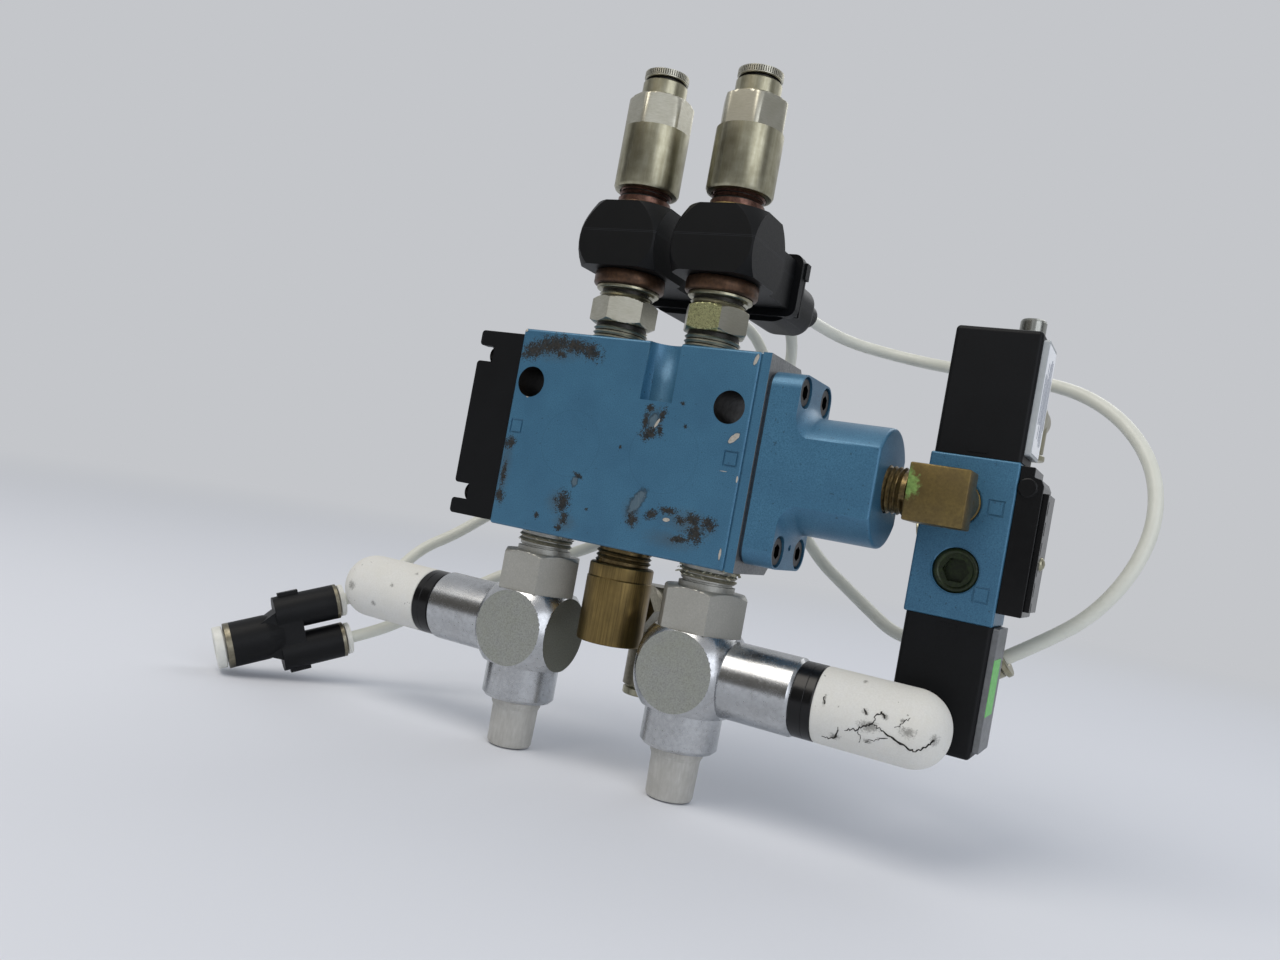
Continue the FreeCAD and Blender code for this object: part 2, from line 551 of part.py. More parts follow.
def boss_outline(sketch):
    """A round boss with flats level with the flange's front and back."""
    half, radius = number(FLANGE_DEEP + " / 2"), number("boss_dia / 2")
    y, z = number(MIDDLE), number(SPOOL)
    rise = math.sqrt(radius ** 2 - half ** 2)
    bend = math.asin(half / radius)
    centre = Vector(y, z, 0)
    round_part = Part.Circle(centre, Vector(0, 0, 1), radius)
    top = sketch.addGeometry(Part.ArcOfCircle(round_part, math.pi / 2 - bend, math.pi / 2 + bend))
    low = sketch.addGeometry(Part.ArcOfCircle(round_part, 1.5 * math.pi - bend, 1.5 * math.pi + bend))
    front = sketch.addGeometry(Part.LineSegment(Vector(y - half, z + rise, 0), Vector(y - half, z - rise, 0)))
    back = sketch.addGeometry(Part.LineSegment(Vector(y + half, z - rise, 0), Vector(y + half, z + rise, 0)))
    for a, b in (((top, 2), (front, 1)), ((front, 2), (low, 1)),
                 ((low, 2), (back, 1)), ((back, 2), (top, 1))):
        sketch.addConstraint(Sketcher.Constraint("Coincident", *a, *b))
    sketch.addConstraint(Sketcher.Constraint("Coincident", top, 3, low, 3))
    hold(sketch, top, 3, MIDDLE, SPOOL)
    for line in (front, back):
        sketch.addConstraint(Sketcher.Constraint("Vertical", line))
    index = sketch.addConstraint(Sketcher.Constraint("Radius", top, radius))
    sketch.setExpression("Constraints[%d]" % index, rule("boss_dia / 2"))
    for line, text in ((front, "%s - %s / 2" % (MIDDLE, FLANGE_DEEP)),
                       (back, "%s + %s / 2" % (MIDDLE, FLANGE_DEEP))):
        index = sketch.addConstraint(Sketcher.Constraint("DistanceX", -1, 1, line, 1, number(text)))
        sketch.setExpression("Constraints[%d]" % index, rule(text))


def pilot_cap():
    body = new_body("pilot_cap")
    pad(body, "YZ", CAP_LEFT, CAP_RIGHT, flange_outline("0"))
    round_edges(body, along("x"), "flange_corner")
    pad(body, "YZ", CAP_RIGHT + " - 1", BOSS_END, boss_outline)
    root = number(CAP_RIGHT)
    widest_corner = number("flange_corner") + 1
    round_edges(body, lambda edge: abs(edge.CenterOfMass.x - root) < 0.01
                and type(edge.Curve).__name__ == "Circle" and edge.Curve.Radius > widest_corner, "boss_blend")
    end = number(BOSS_END)
    round_edges(body, lambda edge: abs(edge.CenterOfMass.x - end) < 0.01, "boss_round")
    cut(body, "YZ", CAP_LEFT + " - 1", CAP_LEFT + " + piston_deep", disc(MIDDLE, SPOOL, "piston_dia / 2"))
    cut(body, "YZ", CAP_LEFT, BOSS_END, disc(MIDDLE, SPOOL, "pilot_passage / 2"))
    cut(body, "YZ", BOSS_END + " - pilot_deep", BOSS_END + " + 1",
        disc(MIDDLE, SPOOL, "pilot_thread / 2 + thread_gap"))
    cut(body, "YZ", CAP_LEFT + " - 1", CAP_RIGHT + " + 1", *screw_discs("cap_screw_dia / 2 + screw_gap"))
    cut(body, "YZ", CAP_RIGHT + " - cap_bore_deep", CAP_RIGHT + " + boss_long / 2",
        *screw_discs("cap_bore_dia / 2"))
    cut(body, "YZ", CAP_RIGHT + " - vent_deep", CAP_RIGHT + " + 1",
        disc(MIDDLE, SPOOL + " - screw_pitch_z / 2 + vent_rise", "vent_dia / 2"))
    return keep(body, "pilot_cap")


def pilot_cap_screws():
    seat = CAP_RIGHT + " - cap_bore_deep"
    shank = "flange_thick - cap_bore_deep + gasket_thick + plate_thick + groove_wide" \
            " + cap_screw_grip - screw_end"
    return group("pilot_cap_screws",
                 [socket_screw("cap_screw_%d" % i, (seat, y, z), "right", "cap_head_dia", "cap_head_high",
                               "cap_screw_dia", shank, "socket_cap")
                  for i, (y, z) in enumerate(screw_places(), start=1)])


# Stack on each top port, drawn upwards from the body's top face
HEX_TOP = "stud_hex_low + stud_hex_high"
NECK_TOP = HEX_TOP + " + stud_neck"
CUBE_LOW = NECK_TOP + " + washer_thick"
CUBE_TOP = CUBE_LOW + " + cube_high"
FITTING_LOW = CUBE_TOP + " + top_washer_thick + fitting_rise"
FITTING_HEX = FITTING_LOW + " + fitting_high"
THROAT_LOW = FITTING_HEX + " + fitting_hex_high"
THROAT_TOP = THROAT_LOW + " + throat_high"
MODULE_MIDDLE = "(%s) / 2 + (%s) / 2 - module_drop" % (CUBE_LOW, CUBE_TOP)
# How far each side's hexagons are turned from a corner on +X
HEX_TURN = {"left": 30, "right": 0}


def stack_at(side, level="0"):
    return (TOP_PORTS[side], MIDDLE, "body_top + (%s)" % level)


def banjo_stud(side):
    """A hollow stud: port thread, hexagon, and the long thread that the cube and fitting sit on."""
    bore, thread, stem = "stud_bore / 2", "thread_dia / 2", "stud_dia / 2"
    top = FITTING_LOW + " + fitting_seat"
    body = turned(side + "_banjo_stud",
                  [(bore, "-thread_grip"), (thread, "-thread_grip"), (thread, HEX_TOP),
                   (stem, HEX_TOP), (stem, top), (bore, top)], stack_at(side))
    pad(body, "XY", "stud_hex_low", HEX_TOP, hexagon("0", "0", "stud_hex", HEX_TURN[side]),
        disc("0", "0", bore))
    bevel_hex(body, "stud_hex", HEX_TOP, "+")
    bevel_hex(body, "stud_hex", "stud_hex_low", "-")
    # The collar that the lower washer rests on
    pad(body, "XY", NECK_TOP + " - stud_collar_high", NECK_TOP, disc("0", "0", "stud_collar_dia / 2"),
        disc("0", "0", bore))
    return keep(body, side + "_banjo_stud")


def stud_washers(side):
    inner = "stud_dia / 2 + thread_gap"
    at = stack_at(side)
    lower = ring(side + "_lower_washer", inner, "washer_dia / 2", NECK_TOP, CUBE_LOW, at, "up")
    upper = ring(side + "_upper_washer", inner, "top_washer_dia / 2", CUBE_TOP,
                 CUBE_TOP + " + top_washer_thick", at, "up")
    return group(side + "_stud_washers", [lower, upper])


def sensor_cube(side):
    """A moulded cube turned to a barrel at its corners, with a bridge to the module behind it."""
    body = new_body(side + "_sensor_cube", stack_at(side))
    half = "cube_size / 2"
    pad(body, "XY", CUBE_LOW, CUBE_TOP, rect("-" + half, "-" + half, half, half))
    low, top, far = CUBE_LOW, CUBE_TOP, "cube_size"
    turn(body, [("cube_shoulder", low, "cube_corner - cube_shoulder"), ("cube_shoulder", top),
                ("cube_shoulder", top + " + 1"), (far, top + " + 1"), (far, low + " - 1"),
                ("cube_shoulder", low + " - 1")], "Groove")
    pad(body, "XZ", "cube_size / 2 - bridge_in", "body_deep / 2 + module_plate_y - module_gap",
        rect("-bridge_wide / 2", MODULE_MIDDLE + " - bridge_high / 2",
             "bridge_wide / 2", MODULE_MIDDLE + " + bridge_high / 2"))
    cut(body, "XY", low + " - 1", top + " + 1", disc("0", "0", "stud_dia / 2 + cube_clear"))
    return keep(body, side + "_sensor_cube")


def sensor_module(side):
    """The sensor's housing: a ribbed front plate, a round-ended tail and two tube sockets."""
    body = new_body(side + "_sensor_module", stack_at(side))
    middle = MODULE_MIDDLE
    front = "body_deep / 2 + module_plate_y"
    back = front + " + module_plate_thick"
    end = "body_deep / 2 + tail_end"

    tail, tail_low = middle + " - tail_drop", middle + " - tail_drop - tail_high / 2"
    pad(body, "XZ", back + " - rib_thick", end,
        rect("-tail_wide / 2", tail_low, "tail_wide / 2", tail_low + " + tail_high"))
    far = number(end)
    round_edges(body, lambda edge: along("x")(edge) and abs(edge.CenterOfMass.y - far) < 0.01, "tail_edge")
    round_edges(body, lambda edge: along("z")(edge) and abs(edge.CenterOfMass.y - far) < 0.01, "tail_round")

    def slab(inset):
        wide, high = "(module_plate_wide / 2 - %s)" % inset, "(module_plate_high / 2 - %s)" % inset
        return rect("-" + wide, "%s - %s" % (middle, high), wide, "%s + %s" % (middle, high))
    pad(body, "XZ", front, back, slab("0"))
    plate_back = number(back)
    round_edges(body, lambda edge: along("y")(edge) and edge.CenterOfMass.y < plate_back - 1,
                "module_plate_corner")
    for i in (1, 2):
        start = "%s + %d * rib_pitch" % (back, i)
        pad(body, "XZ", start + " - rib_thick", start, slab("rib_out"))
    latch_top = middle + " + module_plate_high / 2 - latch_drop"
    pad(body, "XZ", back + " - rib_thick", back + " + latch_deep",
        rect("tail_wide / 2 - 1", latch_top + " - latch_high",
             "module_plate_wide / 2 + latch_out", latch_top))
    for sign in "+-":
        at = sign + "socket_pitch / 2"
        pad(body, "XZ", end + " - socket_deep", end + " + socket_out", disc(at, tail, "socket_dia / 2"))
        cut(body, "XZ", end + " + socket_out - socket_deep", end + " + socket_out + 1",
            disc(at, tail, "tube_dia / 2 + fit_gap"))
    return keep(body, side + "_sensor_module")


def tube_fitting(side):
    """A straight push-in fitting: round skirt, hexagon and throat in one turned piece."""
    low, top = FITTING_LOW, THROAT_TOP
    skirt, stem, bore = "fitting_dia / 2", "stud_dia / 2 + thread_gap", "fitting_bore / 2"
    seat, floor = low + " + fitting_seat + spring_gap", "%s - collet_long - collet_floor" % top
    body = turned(side + "_tube_fitting",
                  [(stem, low), (skirt + " - fitting_bevel", low), (skirt, low + " + fitting_bevel"),
                   (skirt, THROAT_LOW + " - fitting_bevel"), ("throat_dia / 2 + fitting_bevel", THROAT_LOW),
                   ("throat_dia / 2", THROAT_LOW), ("throat_dia / 2", top), (bore, top), (bore, floor),
                   ("stud_bore / 2", floor), ("stud_bore / 2", seat), (stem, seat)], stack_at(side))
    cut(body, "XY", FITTING_HEX, THROAT_LOW, disc("0", "0", "fitting_dia"),
        hexagon("0", "0", "fitting_hex", HEX_TURN[side]))
    return keep(body, side + "_tube_fitting")


def release_collet(side):
    """The ring pressed down to free a tube, on a sleeve that runs in the fitting's bore."""
    sleeve, head, bore = "fitting_bore / 2 - slide_gap", "collet_dia / 2", "collet_bore / 2"
    body = turned(side + "_release_collet",
                  [(bore, "collet_gap - collet_sleeve"), (sleeve, "collet_gap - collet_sleeve"),
                   (sleeve, "collet_gap"), (head, "collet_gap"), (head, "collet_gap + collet_head"),
                   (bore, "collet_gap + collet_head")], stack_at(side, THROAT_TOP))
    return keep(body, side + "_release_collet")


# Quick exhaust under each outer bottom port, drawn downwards from the body's bottom face
ARM_WAY = {"left": "left", "right": "right"}
HEX_LOW = "nut_top + nut_high"


def tee_at(side, level="0"):
    return (EXHAUSTS[side], MIDDLE, "-body_bottom - (%s)" % level)


def tee_nut(side):
    bore = "nut_bore / 2"
    low = HEX_LOW + " + nut_spigot"
    body = turned(side + "_tee_nut",
                  [(bore, "-thread_grip"), ("thread_dia / 2", "-thread_grip"), ("thread_dia / 2", HEX_LOW),
                   ("nut_spigot_dia / 2", HEX_LOW), ("nut_spigot_dia / 2", low), (bore, low)],
                  tee_at(side), "down")
    pad(body, "XY", "nut_top", HEX_LOW, hexagon("0", "0", "nut_hex"), disc("0", "0", bore))
    bevel_hex(body, "nut_hex", "nut_top", "-")
    return keep(body, side + "_tee_nut")


def tee_body(side):
    """The cast tee: a cube turned off round its front and side faces, with a neck and an arm."""
    body = new_body(side + "_tee_body", tee_at(side), "down")
    half, low_face = "tee_face_out", "tee_drop + tee_half"
    pad(body, "XY", HEX_LOW, low_face, rect("-" + half, "-" + half, half, half))
    # In this body's frame, turned over about X, the front is +Y
    cone, start, face, past = "tee_cone_dia / 2", half + " - tee_cone_in", "tee_face_dia / 2", half + " + 1"
    for sign, other in (("", "-"), ("-", "")):
        turn(body, [(cone, sign + "(%s)" % start, sign + "tee_round"), (face, sign + half),
                    (face, sign + "(%s)" % past), ("tee_drop", sign + "(%s)" % past),
                    ("tee_drop", sign + "(%s)" % start)], "Groove", "XY", "tee_drop")
        turn(body, [(sign + "(%s)" % start, cone, other + "tee_round"), (sign + half, face),
                    (sign + "(%s)" % past, face), (sign + "(%s)" % past, "tee_drop"),
                    (sign + "(%s)" % start, "tee_drop")], "Groove", "XY", "tee_drop", "H_Axis")
    turn(body, [("0", low_face), ("tee_neck_dia / 2", low_face), ("tee_neck_dia / 2", "tee_low - tee_bevel"),
                ("tee_neck_dia / 2 - tee_bevel", "tee_low"), ("0", "tee_low")])
    low, high = ("-arm_long", "0") if side == "left" else ("0", "arm_long")
    pad(body, "YZ", low, high, disc("0", "tee_drop", "arm_dia / 2"))
    end = number("arm_long")
    round_edges(body, lambda edge: abs(abs(edge.CenterOfMass.x) - end) < 0.01, "arm_bevel", "Chamfer")
    cut(body, "XY", HEX_LOW + " - 1", HEX_LOW + " + nut_spigot + lip_gap + lip_thick + lip_stroke + lip_room",
        disc("0", "0", "tee_chamber / 2"))
    cut(body, "XY", HEX_LOW, "tee_low + 1", disc("0", "0", "pin_spigot_dia / 2"))
    cut(body, "XY", "tee_low - pin_seat", "tee_low + 1", disc("0", "0", "pin_flare / 2 - stub_step"))
    low, high = ("-arm_long - 1", "0") if side == "left" else ("0", "arm_long + 1")
    cut(body, "YZ", low, high, disc("0", "tee_drop", "arm_bore / 2 + thread_gap"))
    return keep(body, side + "_tee_body")


def exhaust_lip(side):
    """The floating seal that lets air in one way and dumps it the other."""
    top = HEX_LOW + " + nut_spigot + lip_gap"
    body = turned(side + "_exhaust_lip",
                  [("0", top), ("lip_core", top), ("lip_dia / 2", top + " + lip_thick - lip_dish"),
                   ("lip_dia / 2", top + " + lip_thick"), ("lip_core", top + " + lip_skirt"),
                   ("0", top + " + lip_skirt")], tee_at(side), "down")
    return keep(body, side + "_exhaust_lip")


def tee_stub(side):
    """The plain stub pushed into the tee's lower end."""
    flare, plain, spigot = "pin_flare / 2", "pin_dia / 2", "pin_flare / 2 - stub_step - thread_gap"
    body = turned(side + "_tee_stub",
                  [("0", "tee_low - pin_spigot"), (spigot, "tee_low - pin_spigot"), (spigot, "tee_low"),
                   (flare, "tee_low"), (plain, "tee_low + pin_flare_high"), (plain, "pin_low - pin_edge"),
                   (plain + " - pin_edge", "pin_low"), ("0", "pin_low")], tee_at(side), "down")
    return keep(body, side + "_tee_stub")


def silencer_ring(side):
    """The silencer's threaded base, screwed into the tee's arm."""
    spigot, bore = "arm_bore / 2", "silencer_bore / 2"
    at = arm_at(side)
    body = turned(side + "_silencer_ring",
                  [(bore, "-ring_spigot"), (spigot, "-ring_spigot"), (spigot, "0"),
                   ("ring_dia / 2", "0"), ("ring_dia / 2", "ring_long"), (bore, "ring_long")],
                  at, ARM_WAY[side])
    return keep(body, side + "_silencer_ring")


def arm_at(side):
    x = EXHAUSTS[side] + (" - arm_long" if side == "left" else " + arm_long")
    return (x, MIDDLE, "-body_bottom - tee_drop")


def silencer(side):
    """A sintered shell with a domed end, closed outwards and hollow inside."""
    end = "ring_long + silencer_long"
    body = turned(side + "_silencer",
                  [("0", end), ("silencer_dia / 2", end), ("silencer_dia / 2", "ring_long"),
                   ("silencer_bore / 2", "ring_long"), ("silencer_bore / 2", end + " - silencer_wall"),
                   ("0", end + " - silencer_wall")], arm_at(side), ARM_WAY[side])
    far = number(end)
    round_edges(body, lambda edge: abs(edge.CenterOfMass.z - far) < 0.01, "silencer_dome")
    return keep(body, side + "_silencer")


# Supply under the middle bottom port
SLEEVE_AT = (INLET, MIDDLE, "-body_bottom")


def inlet_sleeve():
    bore = "sleeve_bore / 2"
    body = turned("inlet_sleeve",
                  [("0", "sleeve_low"), ("sleeve_dia / 2 - sleeve_edge", "sleeve_low"),
                   ("sleeve_dia / 2", "sleeve_low - sleeve_edge"), ("sleeve_dia / 2", "sleeve_top"),
                   ("thread_dia / 2", "sleeve_top"), ("thread_dia / 2", "-thread_grip"),
                   (bore, "-thread_grip"), (bore, "sleeve_low - sleeve_floor"),
                   ("0", "sleeve_low - sleeve_floor")], SLEEVE_AT, "down")
    cut(body, "XZ", "-sleeve_dia", "0", disc("0", "side_port_drop", "side_port_dia / 2 + thread_gap"))
    return keep(body, "inlet_sleeve")


def inlet_elbow():
    """A push-in elbow from the sleeve's back, turned down beside it."""
    body = new_body("inlet_elbow", SLEEVE_AT)
    level, back = "-side_port_drop", "body_deep / 2 + elbow_back"
    hex_from = "sleeve_dia / 2 + elbow_hex_from"
    hex_to = hex_from + " + elbow_hex_long"
    pad(body, "XZ", "sleeve_bore / 2", hex_from + " + 1", disc("0", level, "side_port_dia / 2"))
    pad(body, "XZ", hex_from, hex_to, hexagon("0", level, "elbow_hex"))
    pad(body, "XZ", hex_to + " - 1", back + " + elbow_dia / 2", disc("0", level, "elbow_dia / 2"))
    pad(body, "XY", "-elbow_low", level + " + elbow_dia / 2", disc("0", back, "elbow_dia / 2"))
    cut(body, "XY", "-elbow_low - 1", "-elbow_low + elbow_tube_deep", disc("0", back, "elbow_tube_bore / 2"))
    return keep(body, "inlet_elbow")


def inlet_collet():
    sleeve, bore, head = "elbow_tube_bore / 2 - slide_gap", "inlet_collet_bore / 2", "inlet_collet_head / 2"
    body = turned("inlet_collet",
                  [(bore, "collet_gap - collet_sleeve"), (sleeve, "collet_gap - collet_sleeve"),
                   (sleeve, "collet_gap"), (head, "collet_gap"), (head, "collet_gap + collet_head"),
                   (bore, "collet_gap + collet_head")],
                  (INLET, "elbow_back", "-body_bottom - elbow_low"), "down")
    return keep(body, "inlet_collet")


# Pilot elbow: a brass block with a threaded leg to the cap and another to the small valve
ELBOW_LEFT = BOSS_END + " + elbow_reach"
PORT_A_X = ELBOW_LEFT + " + elbow_leg"
SMALL_FRONT = MIDDLE + " + small_behind"


def pilot_elbow():
    body = new_body("pilot_elbow")
    left, right = ELBOW_LEFT, ELBOW_LEFT + " + elbow_wide"
    front, back = MIDDLE + " - elbow_ahead", MIDDLE + " - elbow_ahead + elbow_deep"
    low, top = SPOOL + " - elbow_high / 2", SPOOL + " + elbow_high / 2"
    pad(body, "XY", low, top, outline([(left, front), (right, front), (right, back + " - elbow_corner"),
                                       (right + " - elbow_corner", back), (left, back)]))
    round_edges(body, any_edge, "elbow_edge", "Chamfer")
    pad(body, "YZ", BOSS_END + " - pilot_deep + 1", left + " + 1", disc(MIDDLE, SPOOL, "pilot_thread / 2"))
    pad(body, "XZ", back + " - elbow_corner - 1", SMALL_FRONT + " + small_port_deep - 1",
        disc(PORT_A_X, SPOOL, "small_thread / 2"))
    cut(body, "YZ", BOSS_END + " - pilot_deep", PORT_A_X, disc(MIDDLE, SPOOL, "elbow_passage / 2"))
    cut(body, "XZ", MIDDLE, SMALL_FRONT + " + small_port_deep", disc(PORT_A_X, SPOOL, "elbow_passage / 2"))
    return keep(body, "pilot_elbow")


# Small pilot valve: a blue block between two operators, with a terminal cover on its right
SMALL_LEFT = PORT_A_X + " - port_a_in"
SMALL_RIGHT = SMALL_LEFT + " + small_wide"
SMALL_BACK = SMALL_FRONT + " + small_deep"
SMALL_X, SMALL_Y = SMALL_LEFT + " + small_wide / 2", SMALL_FRONT + " + small_deep / 2"
SMALL_TOP = SPOOL + " + small_rise"
SMALL_LOW = SMALL_TOP + " - small_high"
SMALL_MIDDLE = SMALL_TOP + " - small_high / 2"
OPERATOR_TOP = SMALL_TOP + " + operator_high"
OPERATOR_LOW = SMALL_LOW + " - operator_low_high"
TERMINAL_TOP = SMALL_TOP + " - terminal_inset"
TERMINAL_SCREW = TERMINAL_TOP + " - terminal_screw_drop"
PORT_B_X, PORT_B_Z = SMALL_LEFT + " + port_b_in", SPOOL + " - port_b_drop"
HEAD_Y = SMALL_BACK + " + head_out"
FITTINGS = {
    # Where each elbow is screwed in, as x and z, and the way its leg points in the XZ plane
    "lower": (SMALL_LEFT + " + low_fitting_in", SMALL_LOW + " - low_fitting_drop", 36),
    "upper": (SMALL_LEFT + " + top_fitting_in", SMALL_TOP + " + top_fitting_rise", -90),
    "middle": (SMALL_LEFT + " + mid_fitting_in", SMALL_LOW + " + mid_fitting_rise", 194),
}


def small_valve_body():
    body = new_body("small_valve_body")
    pad(body, "XY", SMALL_LOW, SMALL_TOP, rect(SMALL_LEFT, SMALL_FRONT, SMALL_RIGHT, SMALL_BACK))
    round_edges(body, any_edge, "small_round")
    cut(body, "XY", SMALL_LOW + " - 1", SMALL_TOP + " + 1", disc(SMALL_X, SMALL_Y, "small_bore / 2"))
    for x, z in ((PORT_A_X, SPOOL), (PORT_B_X, PORT_B_Z)):
        cut(body, "XZ", SMALL_FRONT + " - 1", SMALL_FRONT + " + small_port_deep",
            disc(x, z, "small_thread / 2 + thread_gap"))
        cut(body, "XZ", SMALL_FRONT + " - 1", SMALL_FRONT + " + small_port_bevel",
            disc(x, z, "small_thread / 2 + thread_gap + small_port_bevel"))
        cut(body, "XZ", SMALL_FRONT + " + small_port_deep - 0.01", SMALL_Y,
            disc("(%s) / 2 + (%s) / 2" % (x, SMALL_X), z, "head_bore / 2"))
    x, z, leg = FITTINGS["middle"]
    cut(body, "XZ", SMALL_BACK + " - base_in - base_room", SMALL_BACK + " + 1",
        disc(x, z, "base_dia / 2 + thread_gap"))
    cut(body, "YZ", SMALL_RIGHT + " - terminal_screw_long", SMALL_RIGHT + " + 1",
        disc(SMALL_Y, TERMINAL_SCREW, "terminal_screw_shank / 2 + screw_gap"))
    for z in (SPOOL, PORT_B_Z + " - port_mark_drop"):
        cut(body, "XZ", SMALL_FRONT + " - 1", SMALL_FRONT + " + mark_deep",
            mark_frame(SMALL_RIGHT + " - mark_size", z))
    return keep(body, "small_valve_body")


def operator(name, low, high, fitting):
    """A moulded solenoid housing with a blind bore for the spool's end."""
    body = new_body(name)
    pad(body, "XY", low, high, rect(SMALL_LEFT + " + operator_inset", SMALL_FRONT + " + operator_gap",
                                    SMALL_RIGHT, SMALL_BACK + " - operator_gap"))
    end = number(high if name == "upper_operator" else low)
    round_edges(body, lambda edge: abs(edge.CenterOfMass.z - end) < 0.01 or along("z")(edge),
                "operator_round")
    near, far = low, low + " + operator_bore"
    if name == "lower_operator":
        near, far = high + " - operator_bore", high
    cut(body, "XY", near, far, disc(SMALL_X, SMALL_Y, "small_bore / 2"))
    x, z, leg = FITTINGS[fitting]
    cut(body, "XZ", SMALL_BACK + " - base_in - base_room", SMALL_BACK + " + 1",
        disc(x, z, "base_dia / 2 + thread_gap"))
    return body


KNOB_X = SMALL_RIGHT + " - knob_inset"
KNOB_Y = SMALL_BACK + " - knob_inset"


def upper_operator():
    body = operator("upper_operator", SMALL_TOP, OPERATOR_TOP, "upper")
    cut(body, "XY", OPERATOR_TOP + " - knob_sunk - knob_stroke - knob_room", OPERATOR_TOP + " + 1",
        disc(KNOB_X, KNOB_Y, "knob_dia / 2 + slide_gap"))
    return keep(body, "upper_operator")


def lower_operator():
    return keep(operator("lower_operator", OPERATOR_LOW, SMALL_LOW, "lower"), "lower_operator")


def manual_override():
    """The pin at the top operator's rear corner, pressed down by hand."""
    radius = "knob_dia / 2"
    body = turned("manual_override",
                  [("0", "-knob_sunk"), (radius, "-knob_sunk"), (radius, "knob_high - knob_edge"),
                   (radius + " - knob_edge", "knob_high"), ("0", "knob_high")],
                  (KNOB_X, KNOB_Y, OPERATOR_TOP))
    return keep(body, "manual_override")


def operator_plates():
    """The light side plates on the two operators."""
    plates = []
    inset = "side_plate_inset"
    for name, low, high in (("upper", "%s + %s" % (SMALL_TOP, inset), "%s - %s" % (OPERATOR_TOP, inset)),
                            ("lower", "%s + %s" % (OPERATOR_LOW, inset), SMALL_LOW)):
        body = new_body(name + "_operator_plate")
        pad(body, "YZ", SMALL_RIGHT, SMALL_RIGHT + " + side_plate_thick",
            rect(SMALL_Y + " - side_plate_wide / 2", low, SMALL_Y + " + side_plate_wide / 2", high))
        round_edges(body, along("x"), "small_round")
        plates.append(body)
    return group("operator_plates", plates)


TERMINAL_RIGHT = SMALL_RIGHT + " + terminal_out"


def terminal_cover():
    """A stepped moulded cover over the wiring, with a round stud near its top."""
    body = new_body("terminal_cover")
    low, top = TERMINAL_TOP + " - terminal_high", TERMINAL_TOP
    y0, y1 = SMALL_Y + " - terminal_wide / 2", SMALL_Y + " + terminal_wide / 2"
    step_x, step_z = TERMINAL_RIGHT + " - terminal_step", TERMINAL_TOP + " - terminal_step_high"
    slope_x, slope_z = TERMINAL_RIGHT + " - terminal_slope", step_z + " + 2 * terminal_slope"
    pad(body, "XZ", y0, y1,
        outline([(SMALL_RIGHT, low), (TERMINAL_RIGHT, low), (TERMINAL_RIGHT, step_z), (slope_x, slope_z),
                 (step_x, slope_z + " + terminal_slope / 2"), (step_x, top), (SMALL_RIGHT, top)]))
    wall = number(SMALL_RIGHT) + 0.01
    round_edges(body, lambda edge: edge.CenterOfMass.x > wall and along("y")(edge), "terminal_round / 2")
    cut(body, "YZ", TERMINAL_RIGHT + " - terminal_screw_sunk", TERMINAL_RIGHT + " + 1",
        disc(SMALL_Y, TERMINAL_SCREW, "terminal_screw_dia / 2 + screw_gap"))
    cut(body, "YZ", SMALL_RIGHT + " - 1", TERMINAL_RIGHT + " + 1",
        disc(SMALL_Y, TERMINAL_SCREW, "terminal_screw_shank / 2 + screw_gap"))
    pad(body, "XZ", y0 + " - terminal_stud_out", y0 + " + 1",
        disc(TERMINAL_RIGHT + " - terminal_step - terminal_stud_in", TERMINAL_TOP + " - terminal_stud_drop",
             "terminal_stud_dia / 2"))
    return keep(body, "terminal_cover")


def terminal_plate():
    """The slotted plate on the cover's outer face."""
    body = new_body("terminal_plate")
    y0 = SMALL_Y + " - terminal_wide / 2 + terminal_plate_inset"
    y1 = SMALL_Y + " + terminal_wide / 2 - terminal_plate_inset"
    low = TERMINAL_TOP + " - terminal_high + terminal_plate_inset"
    top = TERMINAL_TOP + " - terminal_step_high - terminal_plate_inset"
    pad(body, "YZ", TERMINAL_RIGHT, TERMINAL_RIGHT + " + terminal_plate_thick", rect(y0, low, y1, top))
    for i in range(int(SIZES["terminal_slot_count"])):
        middle = "%s - terminal_slot_top - %d * terminal_slot_pitch" % (top, i)
        cut(body, "YZ", TERMINAL_RIGHT + " - 1", TERMINAL_RIGHT + " + terminal_plate_thick + 1",
            rect(y0 + " + terminal_slot_in", middle + " - terminal_slot_high / 2",
                 y0 + " + terminal_slot_in + terminal_slot_wide", middle + " + terminal_slot_high / 2"))
    cut(body, "YZ", TERMINAL_RIGHT + " - 1", TERMINAL_RIGHT + " + terminal_plate_thick + 1",
        disc(SMALL_Y, TERMINAL_SCREW, "terminal_screw_dia / 2 + 2 * screw_gap"))
    return keep(body, "terminal_plate")


def terminal_screw():
    shank = "terminal_out - terminal_screw_sunk + terminal_screw_long - screw_end"
    top = "terminal_screw_sunk + terminal_plate_thick + terminal_screw_proud"
    radius, stem = "terminal_screw_dia / 2", "terminal_screw_shank / 2"
    body = turned("terminal_screw",
                  [("0", "-(%s)" % shank), (stem, "-(%s)" % shank), (stem, "0"), (radius, "0"),
                   (radius, top), ("0", top + " + terminal_screw_proud")],
                  (TERMINAL_RIGHT + " - terminal_screw_sunk", SMALL_Y, TERMINAL_SCREW), "right")
    return keep(body, "terminal_screw")


def port_plug():
    radius = "small_thread / 2"
    body = turned("port_plug", [("0", "0"), (radius, "0"), (radius, "plug_long - plug_edge"),
                                (radius + " - plug_edge", "plug_long"), ("0", "plug_long")],
                  (PORT_B_X, SMALL_FRONT + " + plug_recess + plug_long", PORT_B_Z), "front")
    cut(body, "XY", "plug_long - plug_socket_deep", "plug_long + 1", hexagon("0", "0", "plug_socket"))
    return keep(body, "port_plug")


